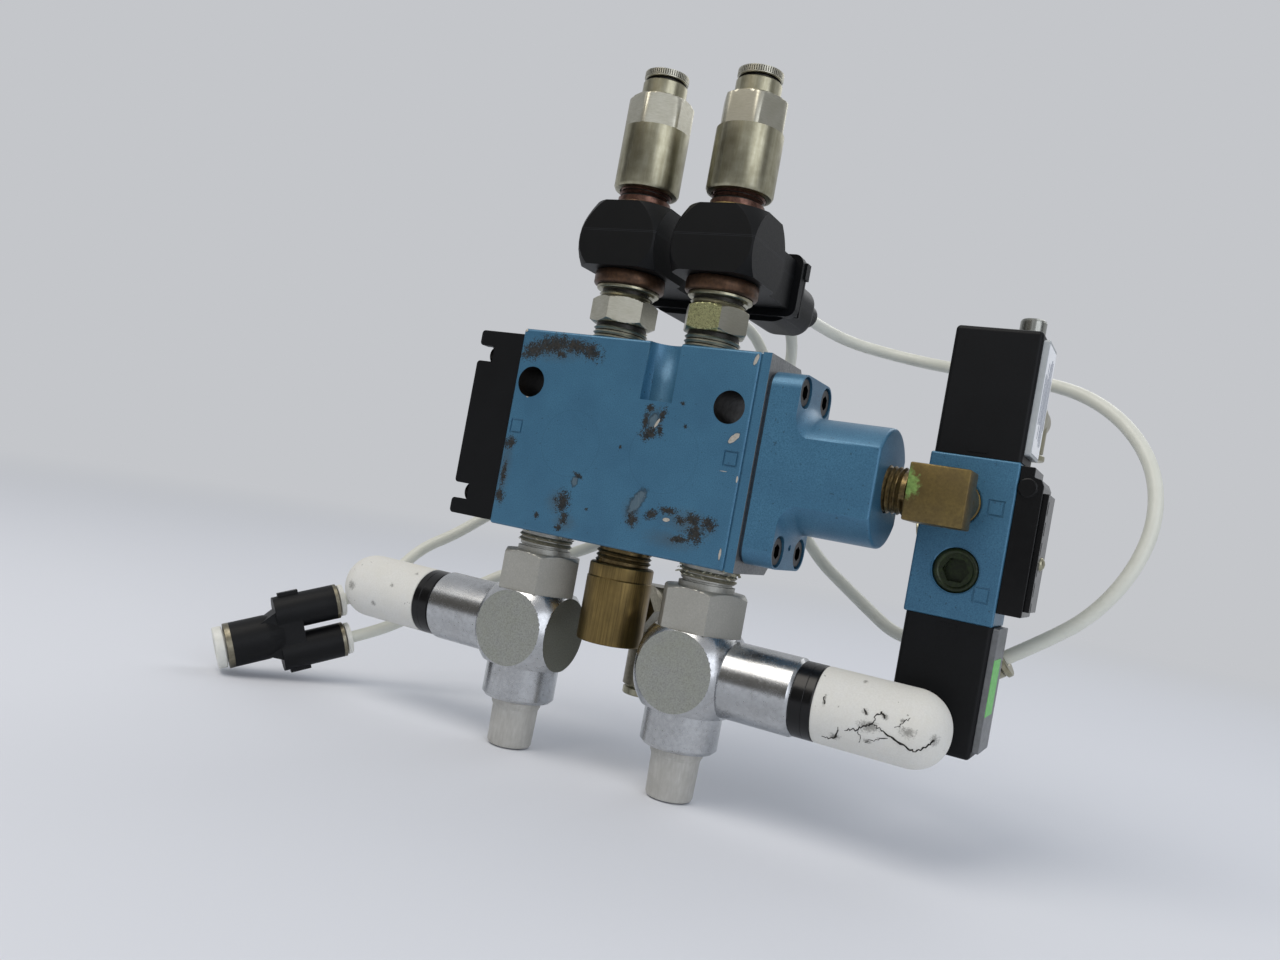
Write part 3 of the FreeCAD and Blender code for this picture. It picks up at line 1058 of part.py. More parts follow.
def pilot_spool():
    """The small valve's own spool: three lands on a thin core."""
    land, core = "small_bore / 2 - slide_gap", "small_spool_core / 2"
    end = "small_high / 2 - small_stroke"
    levels = ["-(%s)" % end, "-small_land / 2", "%s - small_land" % end]
    profile = [("0", levels[0])]
    for level in levels:
        profile += [(land, level), (land, level + " + small_land")]
        if level != levels[-1]:
            profile += [(core, level + " + small_land")]
            profile += [(core, levels[levels.index(level) + 1])]
    profile += [("0", levels[-1] + " + small_land")]
    return keep(turned("pilot_spool", profile, (SMALL_X, SMALL_Y, SMALL_MIDDLE)), "pilot_spool")


def elbow_fitting(name):
    """A base screwed in from behind, a round head, and a leg turned to one side."""
    x, z, leg = FITTINGS[name]
    at = (x, HEAD_Y, z)
    base, shoulder, head = "base_dia / 2", "shoulder_dia / 2", "head_dia / 2"
    stem = turned(name + "_base",
                  [("0", "-(head_out + base_in)"), (base, "-(head_out + base_in)"), (base, "-head_out"),
                   (shoulder, "-head_out"), (shoulder, "-%s - 1" % head), (head, "-" + head),
                   (head, head + " - head_edge"), (head + " - head_edge", head), ("0", head)], at, "back")
    bore = "tube_dia / 2 + small_collet_wall + slide_gap"
    arm = turned(name + "_arm", [("0", "0"), ("leg_dia / 2", "0"), ("leg_dia / 2", "leg_long"),
                                 (bore, "leg_long"), (bore, "leg_long - small_collet_deep"),
                                 ("0", "leg_long - small_collet_deep")], at)
    arm.Placement.Rotation = Rotation(Vector(0, 1, 0), 90 - leg)
    whole = doc.addObject("Part::Fuse", name + "_elbow")
    whole.Base = stem
    whole.Tool = arm
    return whole


def leg_point(name, reach):
    """A point on a leg's axis, in formulas."""
    x, z, leg = FITTINGS[name]
    return ("%s + (%s) * cos(%s)" % (x, reach, leg), HEAD_Y, "%s + (%s) * sin(%s)" % (z, reach, leg))


def pilot_fittings():
    return group("pilot_fittings", [elbow_fitting(name) for name in FITTINGS])


def pilot_collet(name):
    """The small ring that frees a signal tube, at the end of a fitting's leg."""
    x, z, leg = FITTINGS[name]
    bore, head = "tube_dia / 2 + slide_gap", "small_collet_dia / 2"
    start, sleeve = "leg_long + small_collet_gap", "tube_dia / 2 + small_collet_wall"
    body = turned(name + "_pilot_collet",
                  [(bore, start + " - small_collet_sleeve"), (sleeve, start + " - small_collet_sleeve"),
                   (sleeve, start), (head, start), (head, start + " + small_collet_head"),
                   (bore, start + " + small_collet_head")], (x, HEAD_Y, z))
    body.Placement.Rotation = Rotation(Vector(0, 1, 0), 90 - leg)
    return keep(body, name + "_pilot_collet")


# Y connector: a wide end, two legs side by side, and their collets
Y_END = Vector(-125.0, -40.3, -100.3)
Y_ALONG = Vector(0.546, 0.766, 0.336).normalize()
Y_ACROSS = Vector(-0.235, -0.244, 0.938)


def y_frame():
    """The connector's own frame: Z from its wide end to its legs, X from the lower leg to the upper."""
    across = (Y_ACROSS - Y_ALONG * Y_ACROSS.dot(Y_ALONG)).normalize()
    return Rotation(across, Y_ALONG.cross(across), Y_ALONG, "ZXY")


def set_y(obj):
    obj.Placement = FreeCAD.Placement(Y_END, y_frame())


def y_connector():
    body = new_body("y_connector")
    low, legs_top = "y_collet_out", "y_long - y_small_collet_out"
    wide, leg, half = "y_big_dia / 2", "y_leg_dia / 2", "y_spread / 2"
    turn(body, [("0", low), (wide, low), (wide, "y_big_long"), (leg, "y_big_long + y_taper"),
                ("0", "y_big_long + y_taper")])
    # The flat part that widens from the wide end to the legs
    neck, shoulder = "y_big_long - y_neck_in", legs_top + " - y_leg_long + y_shoulder"
    pad(body, "XZ", "y_web_inset - " + leg, leg + " - y_web_inset",
        outline([("-y_neck", neck), ("y_neck", neck), ("y_web_wide", shoulder),
                 ("y_web_wide", shoulder + " + y_web"), ("-y_web_wide", shoulder + " + y_web"),
                 ("-y_web_wide", shoulder)]))
    near, far = "y_spread / 2 + y_leg_dia / 4", "y_spread / 2 + y_leg_dia / 2 + y_rib_out"
    thick = "y_rib_thick / 2"
    for sign in ("-", ""):
        pad(body, "XY", legs_top + " - y_leg_long", legs_top, disc(sign + half, "0", leg))
        pad(body, "XY", "y_big_long + y_rib_from", "y_big_long + y_rib_to",
            rect(sign + "(%s)" % near, "-" + thick, sign + "(%s)" % far, thick))
    cut(body, "XY", "0", low + " + y_big_seat",
        disc("0", "0", "y_big_bore / 2 + small_collet_wall + slide_gap"))
    for sign in ("-", ""):
        cut(body, "XY", legs_top + " - y_leg_seat", "y_long + 1",
            disc(sign + half, "0", "tube_dia / 2 + small_collet_wall + slide_gap"))
    set_y(body)
    return keep(body, "y_connector")


def y_collets():
    """Three white collets, one in each end."""
    bore, sleeve = "y_big_bore / 2", "y_big_bore / 2 + small_collet_wall"
    head = "y_big_dia / 2 - y_collet_inset"
    under = "y_collet_out - small_collet_gap"
    big = turned("y_big_collet", [(bore, "0"), (head, "0"), (head, under), (sleeve, under),
                                  (sleeve, "y_collet_out + y_collet_sleeve"),
                                  (bore, "y_collet_out + y_collet_sleeve")])
    set_y(big)
    members = [big]
    bore, sleeve = "tube_dia / 2 + fit_gap", "tube_dia / 2 + small_collet_wall"
    head = "y_leg_dia / 2 - y_collet_inset"
    low = "y_long - y_small_collet_out + small_collet_gap"
    for side in (-1, 1):
        collet = turned("y_small_collet_%d" % (side + 2),
                        [(bore, low + " - small_collet_sleeve"), (sleeve, low + " - small_collet_sleeve"),
                         (sleeve, low), (head, low), (head, "y_long"), (bore, "y_long")])
        collet.Placement = FreeCAD.Placement(Y_END, y_frame()).multiply(
            FreeCAD.Placement(Vector(side * number("y_spread") / 2, 0, 0), Rotation()))
        members.append(collet)
    return group("y_collets", members)


# Tubes: each end is pushed a little way in, and the points between were chosen by hand
def numbers(point):
    return Vector(*[number(text) for text in point])


def socket_line(side, sign, run):
    """A sensor socket's end of a tube: its end and the first point behind the socket."""
    x, y, z = stack_at(side, MODULE_MIDDLE + " - tail_drop")
    x, mouth = "%s %s socket_pitch / 2" % (x, sign), "tail_end + socket_out - tube_in"
    return [numbers((x, mouth, z)), numbers((x, "%s + %s" % (mouth, run), z))]


def leg_line(name, run):
    """A pilot fitting's end of a tube: its end and the first point beyond the leg."""
    reach = "leg_long + small_collet_gap + small_collet_head - tube_in"
    return [numbers(leg_point(name, reach)), numbers(leg_point(name, "%s + %s" % (reach, run)))]


def y_line(sign, run):
    """The Y connector's end of a tube: its end and the first point beyond the leg."""
    along = number("y_long - tube_in")
    side = number(sign + "y_spread / 2")
    return [Y_END + y_frame().multVec(Vector(side, 0, reach)) for reach in (along, along + run)]


TUBES = {
    "right_signal_tube": (socket_line("right", "+", 15.0), leg_line("lower", 15.1), [
        (30.6, 68.0, 38.3), (44.8, 72.6, 36.3), (59.3, 69.6, 33.9), (72.2, 62.1, 31.7), (85.8, 56.1, 29.3),
        (99.9, 50.7, 28.2), (113.2, 45.0, 24.0), (124.7, 39.7, 15.8), (132.6, 34.7, 4.1),
        (134.9, 30.1, -10.0), (131.6, 26.7, -24.2), (123.9, 25.2, -37.1)]),
    "left_signal_tube": (socket_line("left", "+", 11.5), leg_line("upper", 9.1), [
        (-3.5, 62.8, 37.8), (0.3, 70.3, 29.4), (4.2, 72.4, 18.2), (7.1, 68.4, 7.1), (11.0, 67.0, -4.0),
        (15.7, 63.8, -14.2), (22.5, 61.0, -23.3), (30.7, 58.6, -31.2), (39.1, 55.0, -38.4),
        (48.9, 52.4, -44.2), (58.4, 48.3, -49.5), (68.3, 45.6, -55.0), (78.7, 40.9, -55.2),
        (87.9, 36.6, -50.0), (93.7, 33.2, -41.0), (96.7, 29.8, -30.9), (98.8, 27.4, -20.5),
        (99.6, 26.2, -12.0)]),
    "right_supply_tube": (y_line("-", 12.0), socket_line("right", "-", 11.9), [
        (-88.3, 8.4, -82.9), (-81.6, 15.9, -76.0), (-74.7, 23.2, -69.3), (-66.4, 29.0, -62.7),
        (-56.0, 31.6, -57.4), (-45.0, 33.0, -51.9), (-33.9, 34.0, -46.0), (-23.4, 35.2, -39.4),
        (-14.2, 37.7, -32.0), (-6.7, 41.5, -23.3), (-0.9, 46.1, -13.9), (3.4, 51.4, -3.9),
        (6.6, 59.1, 4.6), (8.9, 66.2, 14.3), (10.8, 67.4, 25.3), (12.0, 62.5, 35.3)]),
    "left_supply_tube": (y_line("", 12.5), socket_line("left", "-", 12.4), [
        (-95.2, 5.5, -67.3), (-93.8, 14.5, -59.2), (-87.4, 23.1, -52.8), (-81.0, 29.9, -45.0),
        (-73.5, 35.8, -37.3), (-65.4, 40.7, -29.7), (-57.2, 45.0, -21.7), (-49.2, 48.9, -13.4),
        (-41.6, 52.7, -4.7), (-34.8, 58.3, 3.0), (-29.4, 67.2, 12.0), (-24.1, 69.0, 24.0),
        (-20.0, 63.9, 34.6)]),
}
# Each arc takes this share of the shorter run beside it
ARC_SHARE = 0.45


def tube(name):
    """A tube as a pipe along its route; prints the radius of each of its arcs."""
    start, end, middle = TUBES[name]
    points = start + [Vector(*point) for point in middle] + end[::-1]
    edges, radii, start = [], [], points[0]
    for i in range(1, len(points) - 1):
        into, out = points[i] - points[i - 1], points[i + 1] - points[i]
        reach = ARC_SHARE * min(into.Length, out.Length)
        angle = into.getAngle(out)
        radii.append(reach / math.tan(angle / 2))
        enter = points[i] - into.normalize() * reach
        leave = points[i] + out.normalize() * reach
        inward = (out - into).normalize()
        depth = radii[-1] / math.cos(angle / 2) - radii[-1]
        edges.append(Part.LineSegment(start, enter).toShape())
        edges.append(Part.Arc(enter, points[i] + inward * depth, leave).toShape())
        start = leave
    edges.append(Part.LineSegment(start, points[-1]).toShape())
    path = Part.Wire(edges)
    heading = (points[1] - points[0]).normalize()
    section = Part.Wire(Part.makeCircle(number("tube_dia / 2"), points[0], heading))
    piece = doc.addObject("Part::Feature", name)
    piece.Shape = path.makePipeShell([section], True, True)
    volume = math.pi * number("tube_dia / 2") ** 2 * path.Length
    print("%s: %.0f mm long, smallest radius %.1f, volume %.3f of section times length"
          % (name, path.Length, min(radii), piece.Shape.Volume / volume))
    return keep(piece, name)


# Build every piece
for make in (valve_body, main_spool, spool_seals, pilot_piston, return_spring, end_cover, end_cover_screws,
             end_plate, end_gasket, pilot_cap, pilot_cap_screws):
    make()
for side in ("left", "right"):
    for make in (banjo_stud, stud_washers, sensor_cube, sensor_module, tube_fitting, release_collet,
                 tee_nut, tee_body, exhaust_lip, tee_stub, silencer_ring, silencer):
        make(side)
for make in (inlet_sleeve, inlet_elbow, inlet_collet, pilot_elbow, small_valve_body, upper_operator,
             lower_operator, manual_override, operator_plates, terminal_cover, terminal_plate,
             terminal_screw, port_plug, pilot_spool, pilot_fittings):
    make()
for name in FITTINGS:
    pilot_collet(name)
y_connector()
y_collets()
for name in TUBES:
    tube(name)

# Check and write
doc.recompute()
for obj in doc.Objects:
    if "Invalid" in obj.State or "Error" in obj.State:
        raise RuntimeError("%s failed: %s" % (obj.Name, obj.State))
for node in nodes:
    if node.Shape.isNull() or not node.Shape.isValid() or not node.Shape.Solids:
        raise RuntimeError("%s has no valid shape" % node.Label)
for node in nodes:
    node.Shape.exportStep("parts/%s.step" % node.Label)
print(len(nodes), "pieces written")
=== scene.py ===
# Pneumatic valve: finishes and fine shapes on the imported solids.
# Sizes are written in millimetres and turned to Blender's metres by MM.
import json
import math
import random

import bmesh
import bpy
from mathutils import Matrix, Vector

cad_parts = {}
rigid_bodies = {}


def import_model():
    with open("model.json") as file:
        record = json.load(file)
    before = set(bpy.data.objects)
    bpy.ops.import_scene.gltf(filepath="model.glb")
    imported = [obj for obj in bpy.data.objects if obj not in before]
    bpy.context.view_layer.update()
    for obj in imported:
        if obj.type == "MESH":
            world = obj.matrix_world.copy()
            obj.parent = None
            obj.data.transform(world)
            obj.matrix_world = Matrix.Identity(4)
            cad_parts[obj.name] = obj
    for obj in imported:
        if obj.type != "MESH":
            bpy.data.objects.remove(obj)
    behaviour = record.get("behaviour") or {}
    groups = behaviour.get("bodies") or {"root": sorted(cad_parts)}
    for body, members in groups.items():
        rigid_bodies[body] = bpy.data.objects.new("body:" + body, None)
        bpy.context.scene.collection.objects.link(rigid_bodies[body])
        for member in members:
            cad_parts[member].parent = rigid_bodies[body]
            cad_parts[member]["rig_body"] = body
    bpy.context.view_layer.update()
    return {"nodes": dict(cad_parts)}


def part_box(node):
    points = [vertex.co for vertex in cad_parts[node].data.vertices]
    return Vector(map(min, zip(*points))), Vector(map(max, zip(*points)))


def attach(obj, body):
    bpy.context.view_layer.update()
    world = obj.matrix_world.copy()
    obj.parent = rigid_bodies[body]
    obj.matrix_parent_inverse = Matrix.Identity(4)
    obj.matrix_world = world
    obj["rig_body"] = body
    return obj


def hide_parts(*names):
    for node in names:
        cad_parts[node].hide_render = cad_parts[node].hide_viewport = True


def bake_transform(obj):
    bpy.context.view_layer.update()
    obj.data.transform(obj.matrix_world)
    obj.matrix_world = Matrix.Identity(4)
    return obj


MM = 0.001
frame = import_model()


def new_object(name, data):
    """An object at the origin, in the scene."""
    made = bpy.data.objects.new(name, data)
    bpy.context.scene.collection.objects.link(made)
    return made


# Camera: the photograph's view, with a short lens, close in, leaning with the valve
CAMERA_LENS, CAMERA_SENSOR = 29.11, 36.0
CAMERA_PLACE = (142.7, -277.9, -28.2)
# The directions to its right, up and behind it
CAMERA_AXES = ((0.8705, 0.4582, 0.1802), (-0.1508, -0.1003, 0.9834), (0.4686, -0.8833, -0.0182))


def set_camera():
    camera = new_object("photo_camera", bpy.data.cameras.new("photo_camera"))
    camera.data.lens, camera.data.sensor_width = CAMERA_LENS, CAMERA_SENSOR
    camera.data.clip_start, camera.data.clip_end = 0.01, 50.0
    camera.matrix_world = at(*CAMERA_PLACE, Matrix(CAMERA_AXES).transposed().to_4x4())
    bpy.context.scene.camera = camera


# Tubes: the same points as in the solids' source, each line starting at the valve
TUBE_DIAMETER = 4.0
TUBES = {
    "right_signal_tube": (222, "object", [
        (22.1, 41, 41), (22.1, 56, 41), (30.6, 68, 38.3), (44.8, 72.6, 36.3), (59.3, 69.6, 33.9),
        (72.2, 62.1, 31.7), (85.8, 56.1, 29.3), (99.9, 50.7, 28.2), (113.2, 45, 24),
        (124.7, 39.7, 15.8), (132.6, 34.7, 4.1), (134.9, 30.1, -10), (131.6, 26.7, -24.2),
        (123.9, 25.2, -37.1), (113.77, 26, -46.06), (101.55, 26, -54.94)]),
    "left_signal_tube": (232, "object", [
        (-8.1, 41, 41), (-8.1, 52.5, 41), (-3.5, 62.8, 37.8), (0.3, 70.3, 29.4), (4.2, 72.4, 18.2),
        (7.1, 68.4, 7.1), (11, 67, -4), (15.7, 63.8, -14.2), (22.5, 61, -23.3), (30.7, 58.6, -31.2),
        (39.1, 55, -38.4), (48.9, 52.4, -44.2), (58.4, 48.3, -49.5), (68.3, 45.6, -55),
        (78.7, 40.9, -55.2), (87.9, 36.6, -50), (93.7, 33.2, -41), (96.7, 29.8, -30.9),
        (98.8, 27.4, -20.5), (99.6, 26.2, -12), (99.8, 26, -4.2), (99.8, 26, 4.9)]),
    "right_supply_tube": (227, "connector", [
        (12.5, 41, 41), (12.5, 52.9, 41), (12, 62.5, 35.3), (10.8, 67.4, 25.3), (8.9, 66.2, 14.3),
        (6.6, 59.1, 4.6), (3.4, 51.4, -3.9), (-0.9, 46.1, -13.9), (-6.7, 41.5, -23.3),
        (-14.2, 37.7, -32), (-23.4, 35.2, -39.4), (-33.9, 34, -46), (-45, 33, -51.9),
        (-56, 31.6, -57.4), (-66.4, 29, -62.7), (-74.7, 23.2, -69.3), (-81.6, 15.9, -76),
        (-88.3, 8.4, -82.9), (-95.4, 0.7, -89.2), (-102, -8.5, -93.3)]),
    "left_supply_tube": (197, "connector", [
        (-17.7, 41, 41), (-17.7, 53.4, 41), (-20, 63.9, 34.6), (-24.1, 69, 24), (-29.4, 67.2, 12),
        (-34.8, 58.3, 3), (-41.6, 52.7, -4.7), (-49.2, 48.9, -13.4), (-57.2, 45, -21.7),
        (-65.4, 40.7, -29.7), (-73.5, 35.8, -37.3), (-81, 29.9, -45), (-87.4, 23.1, -52.8),
        (-93.8, 14.5, -59.2), (-95.2, 5.5, -67.3), (-98.3, -2.2, -76.7), (-105.1, -11.8, -80.9)]),
}


def lay_tube(node, finish):
    """One smooth tube along its route."""
    points = TUBES[node][2]
    curve = bpy.data.curves.new(node.replace("tube", "line"), "CURVE")
    curve.dimensions = "3D"
    spline = curve.splines.new("NURBS")
    spline.points.add(len(points) - 1)
    for point, place in zip(spline.points, points):
        point.co = (*[value * MM for value in place], 1.0)
    spline.order_u = 3
    spline.use_endpoint_u = True
    spline.resolution_u = 14
    curve.bevel_depth = TUBE_DIAMETER / 2 * MM
    curve.bevel_resolution = 10
    curve.use_fill_caps = True
    curve.materials.append(finish)
    line = new_object(curve.name, curve)
    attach(line, "valve")
    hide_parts(node)
    return line


# Materials
def colour(code):
    """An sRGB hex value as Blender's linear colour."""
    def linear(byte):
        share = byte / 255
        return share / 12.92 if share <= 0.04045 else ((share + 0.055) / 1.055) ** 2.4
    value = int(code, 16)
    return (linear(value >> 16), linear(value >> 8 & 255), linear(value & 255), 1.0)


def add(tree, kind, values=None, links=None, **settings):
    """Add one node with its settings, its values and the sockets that feed it."""
    node = tree.nodes.new(kind)
    for name, value in settings.items():
        setattr(node, name, value)
    for name, value in (values or {}).items():
        node.inputs[name].default_value = value
    for name, socket in (links or {}).items():
        tree.links.new(socket, node.inputs[name])
    return node


def start_finish(name, base, roughness, metallic=0.0, **more):
    """A new material with its shader, and the piece's own coordinates in metres."""
    material = bpy.data.materials.new(name)
    material.use_nodes = True
    tree = material.node_tree
    tree.nodes.clear()
    where = add(tree, "ShaderNodeTexCoord").outputs["Object"]
    shader = add(tree, "ShaderNodeBsdfPrincipled",
                 {"Base Color": colour(base), "Roughness": roughness, "Metallic": metallic, **more})
    add(tree, "ShaderNodeOutputMaterial", links={"Surface": shader.outputs["BSDF"]})
    return material, tree, shader, where


def mottle(tree, where, size, soft=0.5, stretch=(1, 1, 1), detail=3.0):
    """Blotches of a size in millimetres, from 0 to 1; stretch draws them out along an axis."""
    scale = [1 / (size * MM * long) for long in stretch]
    placed = add(tree, "ShaderNodeMapping", {"Scale": scale}, {"Vector": where})
    noise = add(tree, "ShaderNodeTexNoise", {"Scale": 1.0, "Detail": detail, "Roughness": 0.6},
                {"Vector": placed.outputs["Vector"]})
    return add(tree, "ShaderNodeMapRange", {"From Min": 0.5 - soft / 2, "From Max": 0.5 + soft / 2},
               {"Value": noise.outputs["Fac"]}).outputs["Result"]


def blend_colours(tree, share, low, high):
    """A colour between two others, each a hex value or a socket."""
    values, links = {}, {0: share}
    for index, tone in ((6, low), (7, high)):
        if isinstance(tone, str):
            values[index] = colour(tone)
        else:
            links[index] = tone
    return add(tree, "ShaderNodeMix", values, links, data_type="RGBA").outputs[2]


def stain(tree, tone, mask, code, start, end, at_end=1.0, at_start=0.0):
    """Lay a colour over a tone, with a strength that goes from start to end of a mask."""
    share = add(tree, "ShaderNodeMapRange",
                {"From Min": start, "From Max": end, "To Min": at_start, "To Max": at_end}, {"Value": mask})
    return blend_colours(tree, share.outputs["Result"], tone, code)


def away(tree, value, level):
    """How far a value in metres is from a level in millimetres."""
    off = add(tree, "ShaderNodeMath", {1: level * MM}, {0: value}, operation="SUBTRACT")
    return add(tree, "ShaderNodeMath", links={0: off.outputs[0]}, operation="ABSOLUTE").outputs[0]


def two_tones(name, light, dark, size, rough, metallic=0.0, stretch=(1, 1, 1), soft=0.5, relief=0.0,
              slow=None, **more):
    """A finish of two close tones, with the same pattern in its gloss and its relief."""
    material, tree, shader, where = start_finish(name, light, rough[0], metallic, **more)
    fine = mottle(tree, where, size, soft, stretch)
    tone = blend_colours(tree, fine, dark, light)
    if slow:
        slow_size, slow_tone, slow_share = slow
        patches = mottle(tree, where, slow_size, 0.4)
        share = add(tree, "ShaderNodeMath", {1: slow_share}, {0: patches}, operation="MULTIPLY")
        tone = blend_colours(tree, share.outputs[0], tone, slow_tone)
    tree.links.new(tone, shader.inputs["Base Color"])
    gloss = add(tree, "ShaderNodeMapRange", {"To Min": rough[1], "To Max": rough[0]}, {"Value": fine})
    tree.links.new(gloss.outputs["Result"], shader.inputs["Roughness"])
    if relief:
        bump = add(tree, "ShaderNodeBump", {"Strength": 0.6, "Distance": relief * MM}, {"Height": fine})
        tree.links.new(bump.outputs["Normal"], shader.inputs["Normal"])
    return material, tree, shader, where, tone


SPOT_REACH = 2.5


def spots(tree, where, places, noise, ragged):
    """How deep a point lies in the nearest of some spots: 1 in its middle, 0 at its edge, below 0 outside.
    A noise breaks the edges. A spot is x, y, z, half width, half height and its tilt."""
    nearest = None
    for x, y, z, wide, high, tilt in places:
        near = add(tree, "ShaderNodeMapping",
                   {"Location": (x * MM, y * MM, z * MM), "Rotation": (0, -math.radians(tilt), 0),
                    "Scale": (wide * MM, SPOT_REACH * MM, high * MM)}, {"Vector": where},
                   vector_type="TEXTURE")
        far = add(tree, "ShaderNodeVectorMath", links={0: near.outputs["Vector"]}, operation="LENGTH")
        inside = add(tree, "ShaderNodeMath", {0: 1.0}, {1: far.outputs["Value"]}, operation="SUBTRACT")
        nearest = inside.outputs[0] if nearest is None else add(
            tree, "ShaderNodeMath", links={0: nearest, 1: inside.outputs[0]}, operation="MAXIMUM").outputs[0]
    rough = add(tree, "ShaderNodeMath", {1: ragged, 2: -ragged / 2}, {0: noise}, operation="MULTIPLY_ADD")
    return add(tree, "ShaderNodeMath", links={0: nearest, 1: rough.outputs[0]}, operation="ADD").outputs[0]


def grit(tree, where, coarse, fine):
    """Blotches broken up by finer, stronger grains."""
    strength = 1.6
    both = add(tree, "ShaderNodeMath", {1: strength}, {0: mottle(tree, where, fine, 0.6, detail=2.0),
                                                       2: mottle(tree, where, coarse, 0.6, detail=4.0)},
               operation="MULTIPLY_ADD")
    return add(tree, "ShaderNodeMath", {1: 1 / (1 + strength)}, {0: both.outputs[0]},
               operation="MULTIPLY").outputs[0]


# Marks on the valve's front face: x, z, half width, half height and tilt
FACE = -27.0
SOOT = [
    # Black rub marks
    (-32.6, 9.4, 5.6, 2.8, 22), (-26.0, 11.6, 6.6, 3.0, 10), (-19.0, 11.6, 5.6, 2.4, 0),
    (-13.6, 10.9, 4.2, 2.6, -24), (-23.3, 8.9, 1.9, 1.3, 0), (8.7, -2.9, 1.5, 1.0, 0),
    (12.8, -4.4, 1.2, 2.4, -12), (9.7, -10.2, 2.8, 1.8, 14), (7.9, -6.6, 1.0, 2.6, 0),
    (12.9, -8.7, 1.0, 1.9, 16), (-13.7, -32.9, 2.6, 3.4, 10), (-12.4, -37.4, 1.4, 2.2, 0),
    (-13.6, -40.3, 1.5, 1.1, 30), (-21.7, -38.2, 1.0, 0.9, 0), (-10.3, -24.8, 1.7, 0.8, -30),
    (-35.4, -18.6, 2.3, 1.9, 30), (-35.7, -28.4, 1.0, 4.4, 0), (-35.6, -34.3, 1.7, 2.4, 0),
    (14.9, -31.8, 2.4, 1.4, 12), (19.9, -29.9, 3.2, 1.1, 4), (23.7, -31.8, 1.9, 1.3, -30),
    (27.8, -31.0, 2.8, 1.9, 0), (28.6, -34.9, 2.9, 2.8, 0), (32.0, -31.4, 2.6, 1.9, -20),
    (24.6, -36.9, 2.8, 1.2, 10), (9.4, -34.2, 1.9, 2.0, 0), (20.3, -6.6, 0.7, 0.6, 0),
    (-5.5, -33.7, 0.6, 0.6, 0), (1.6, -15.0, 0.5, 0.5, 0), (18.4, -0.7, 0.9, 0.6, 0),
]
HAZE = [
    # Thin grey dirt round the marks, where they were wiped
    (-24.0, 10.4, 15.0, 4.6, 4), (-15.6, -33.4, 4.6, 4.4, 0), (-12.0, -38.6, 5.0, 3.2, 0),
    (10.2, -6.6, 3.8, 5.2, -6), (22.0, -37.6, 10.0, 3.2, 0), (26.0, -32.4, 10.0, 4.6, -6),
    (8.8, -32.6, 3.4, 5.2, 20), (-35.6, -26.0, 2.6, 13.0, 0),
]
CHIPS = [
    # Bare metal, pale, where the enamel is chipped off
    (34.9, -7.9, 2.0, 0.85, 46), (37.2, 13.4, 0.55, 1.6, -14), (11.6, -6.9, 0.4, 1.4, -24),
    (19.6, -32.4, 1.1, 0.55, 4), (-32.2, -4.3, 0.55, 0.45, 0), (36.8, -38.6, 0.35, 1.6, 0),
    (37.8, -18.5, 0.25, 0.9, 0), (-37.0, 15.0, 0.7, 0.5, 0), (33.6, -17.0, 1.1, 0.1, 0),
]
SCRAPES = [
    # Enamel scraped thin, with a dark rim
    (9.8, -29.0, 4.4, 1.75, 62), (10.4, -6.6, 1.4, 2.6, -10), (-11.0, -26.6, 1.1, 1.5, 0),
]
# Faint rings left by something round: x, z and radius
RINGS = [(-14.8, -16.1, 9.6), (15.2, -15.4, 10.4)]


def on_face(marks):
    """The marks with their depth on the front face added."""
    return [(x, FACE, z, *more) for x, z, *more in marks]


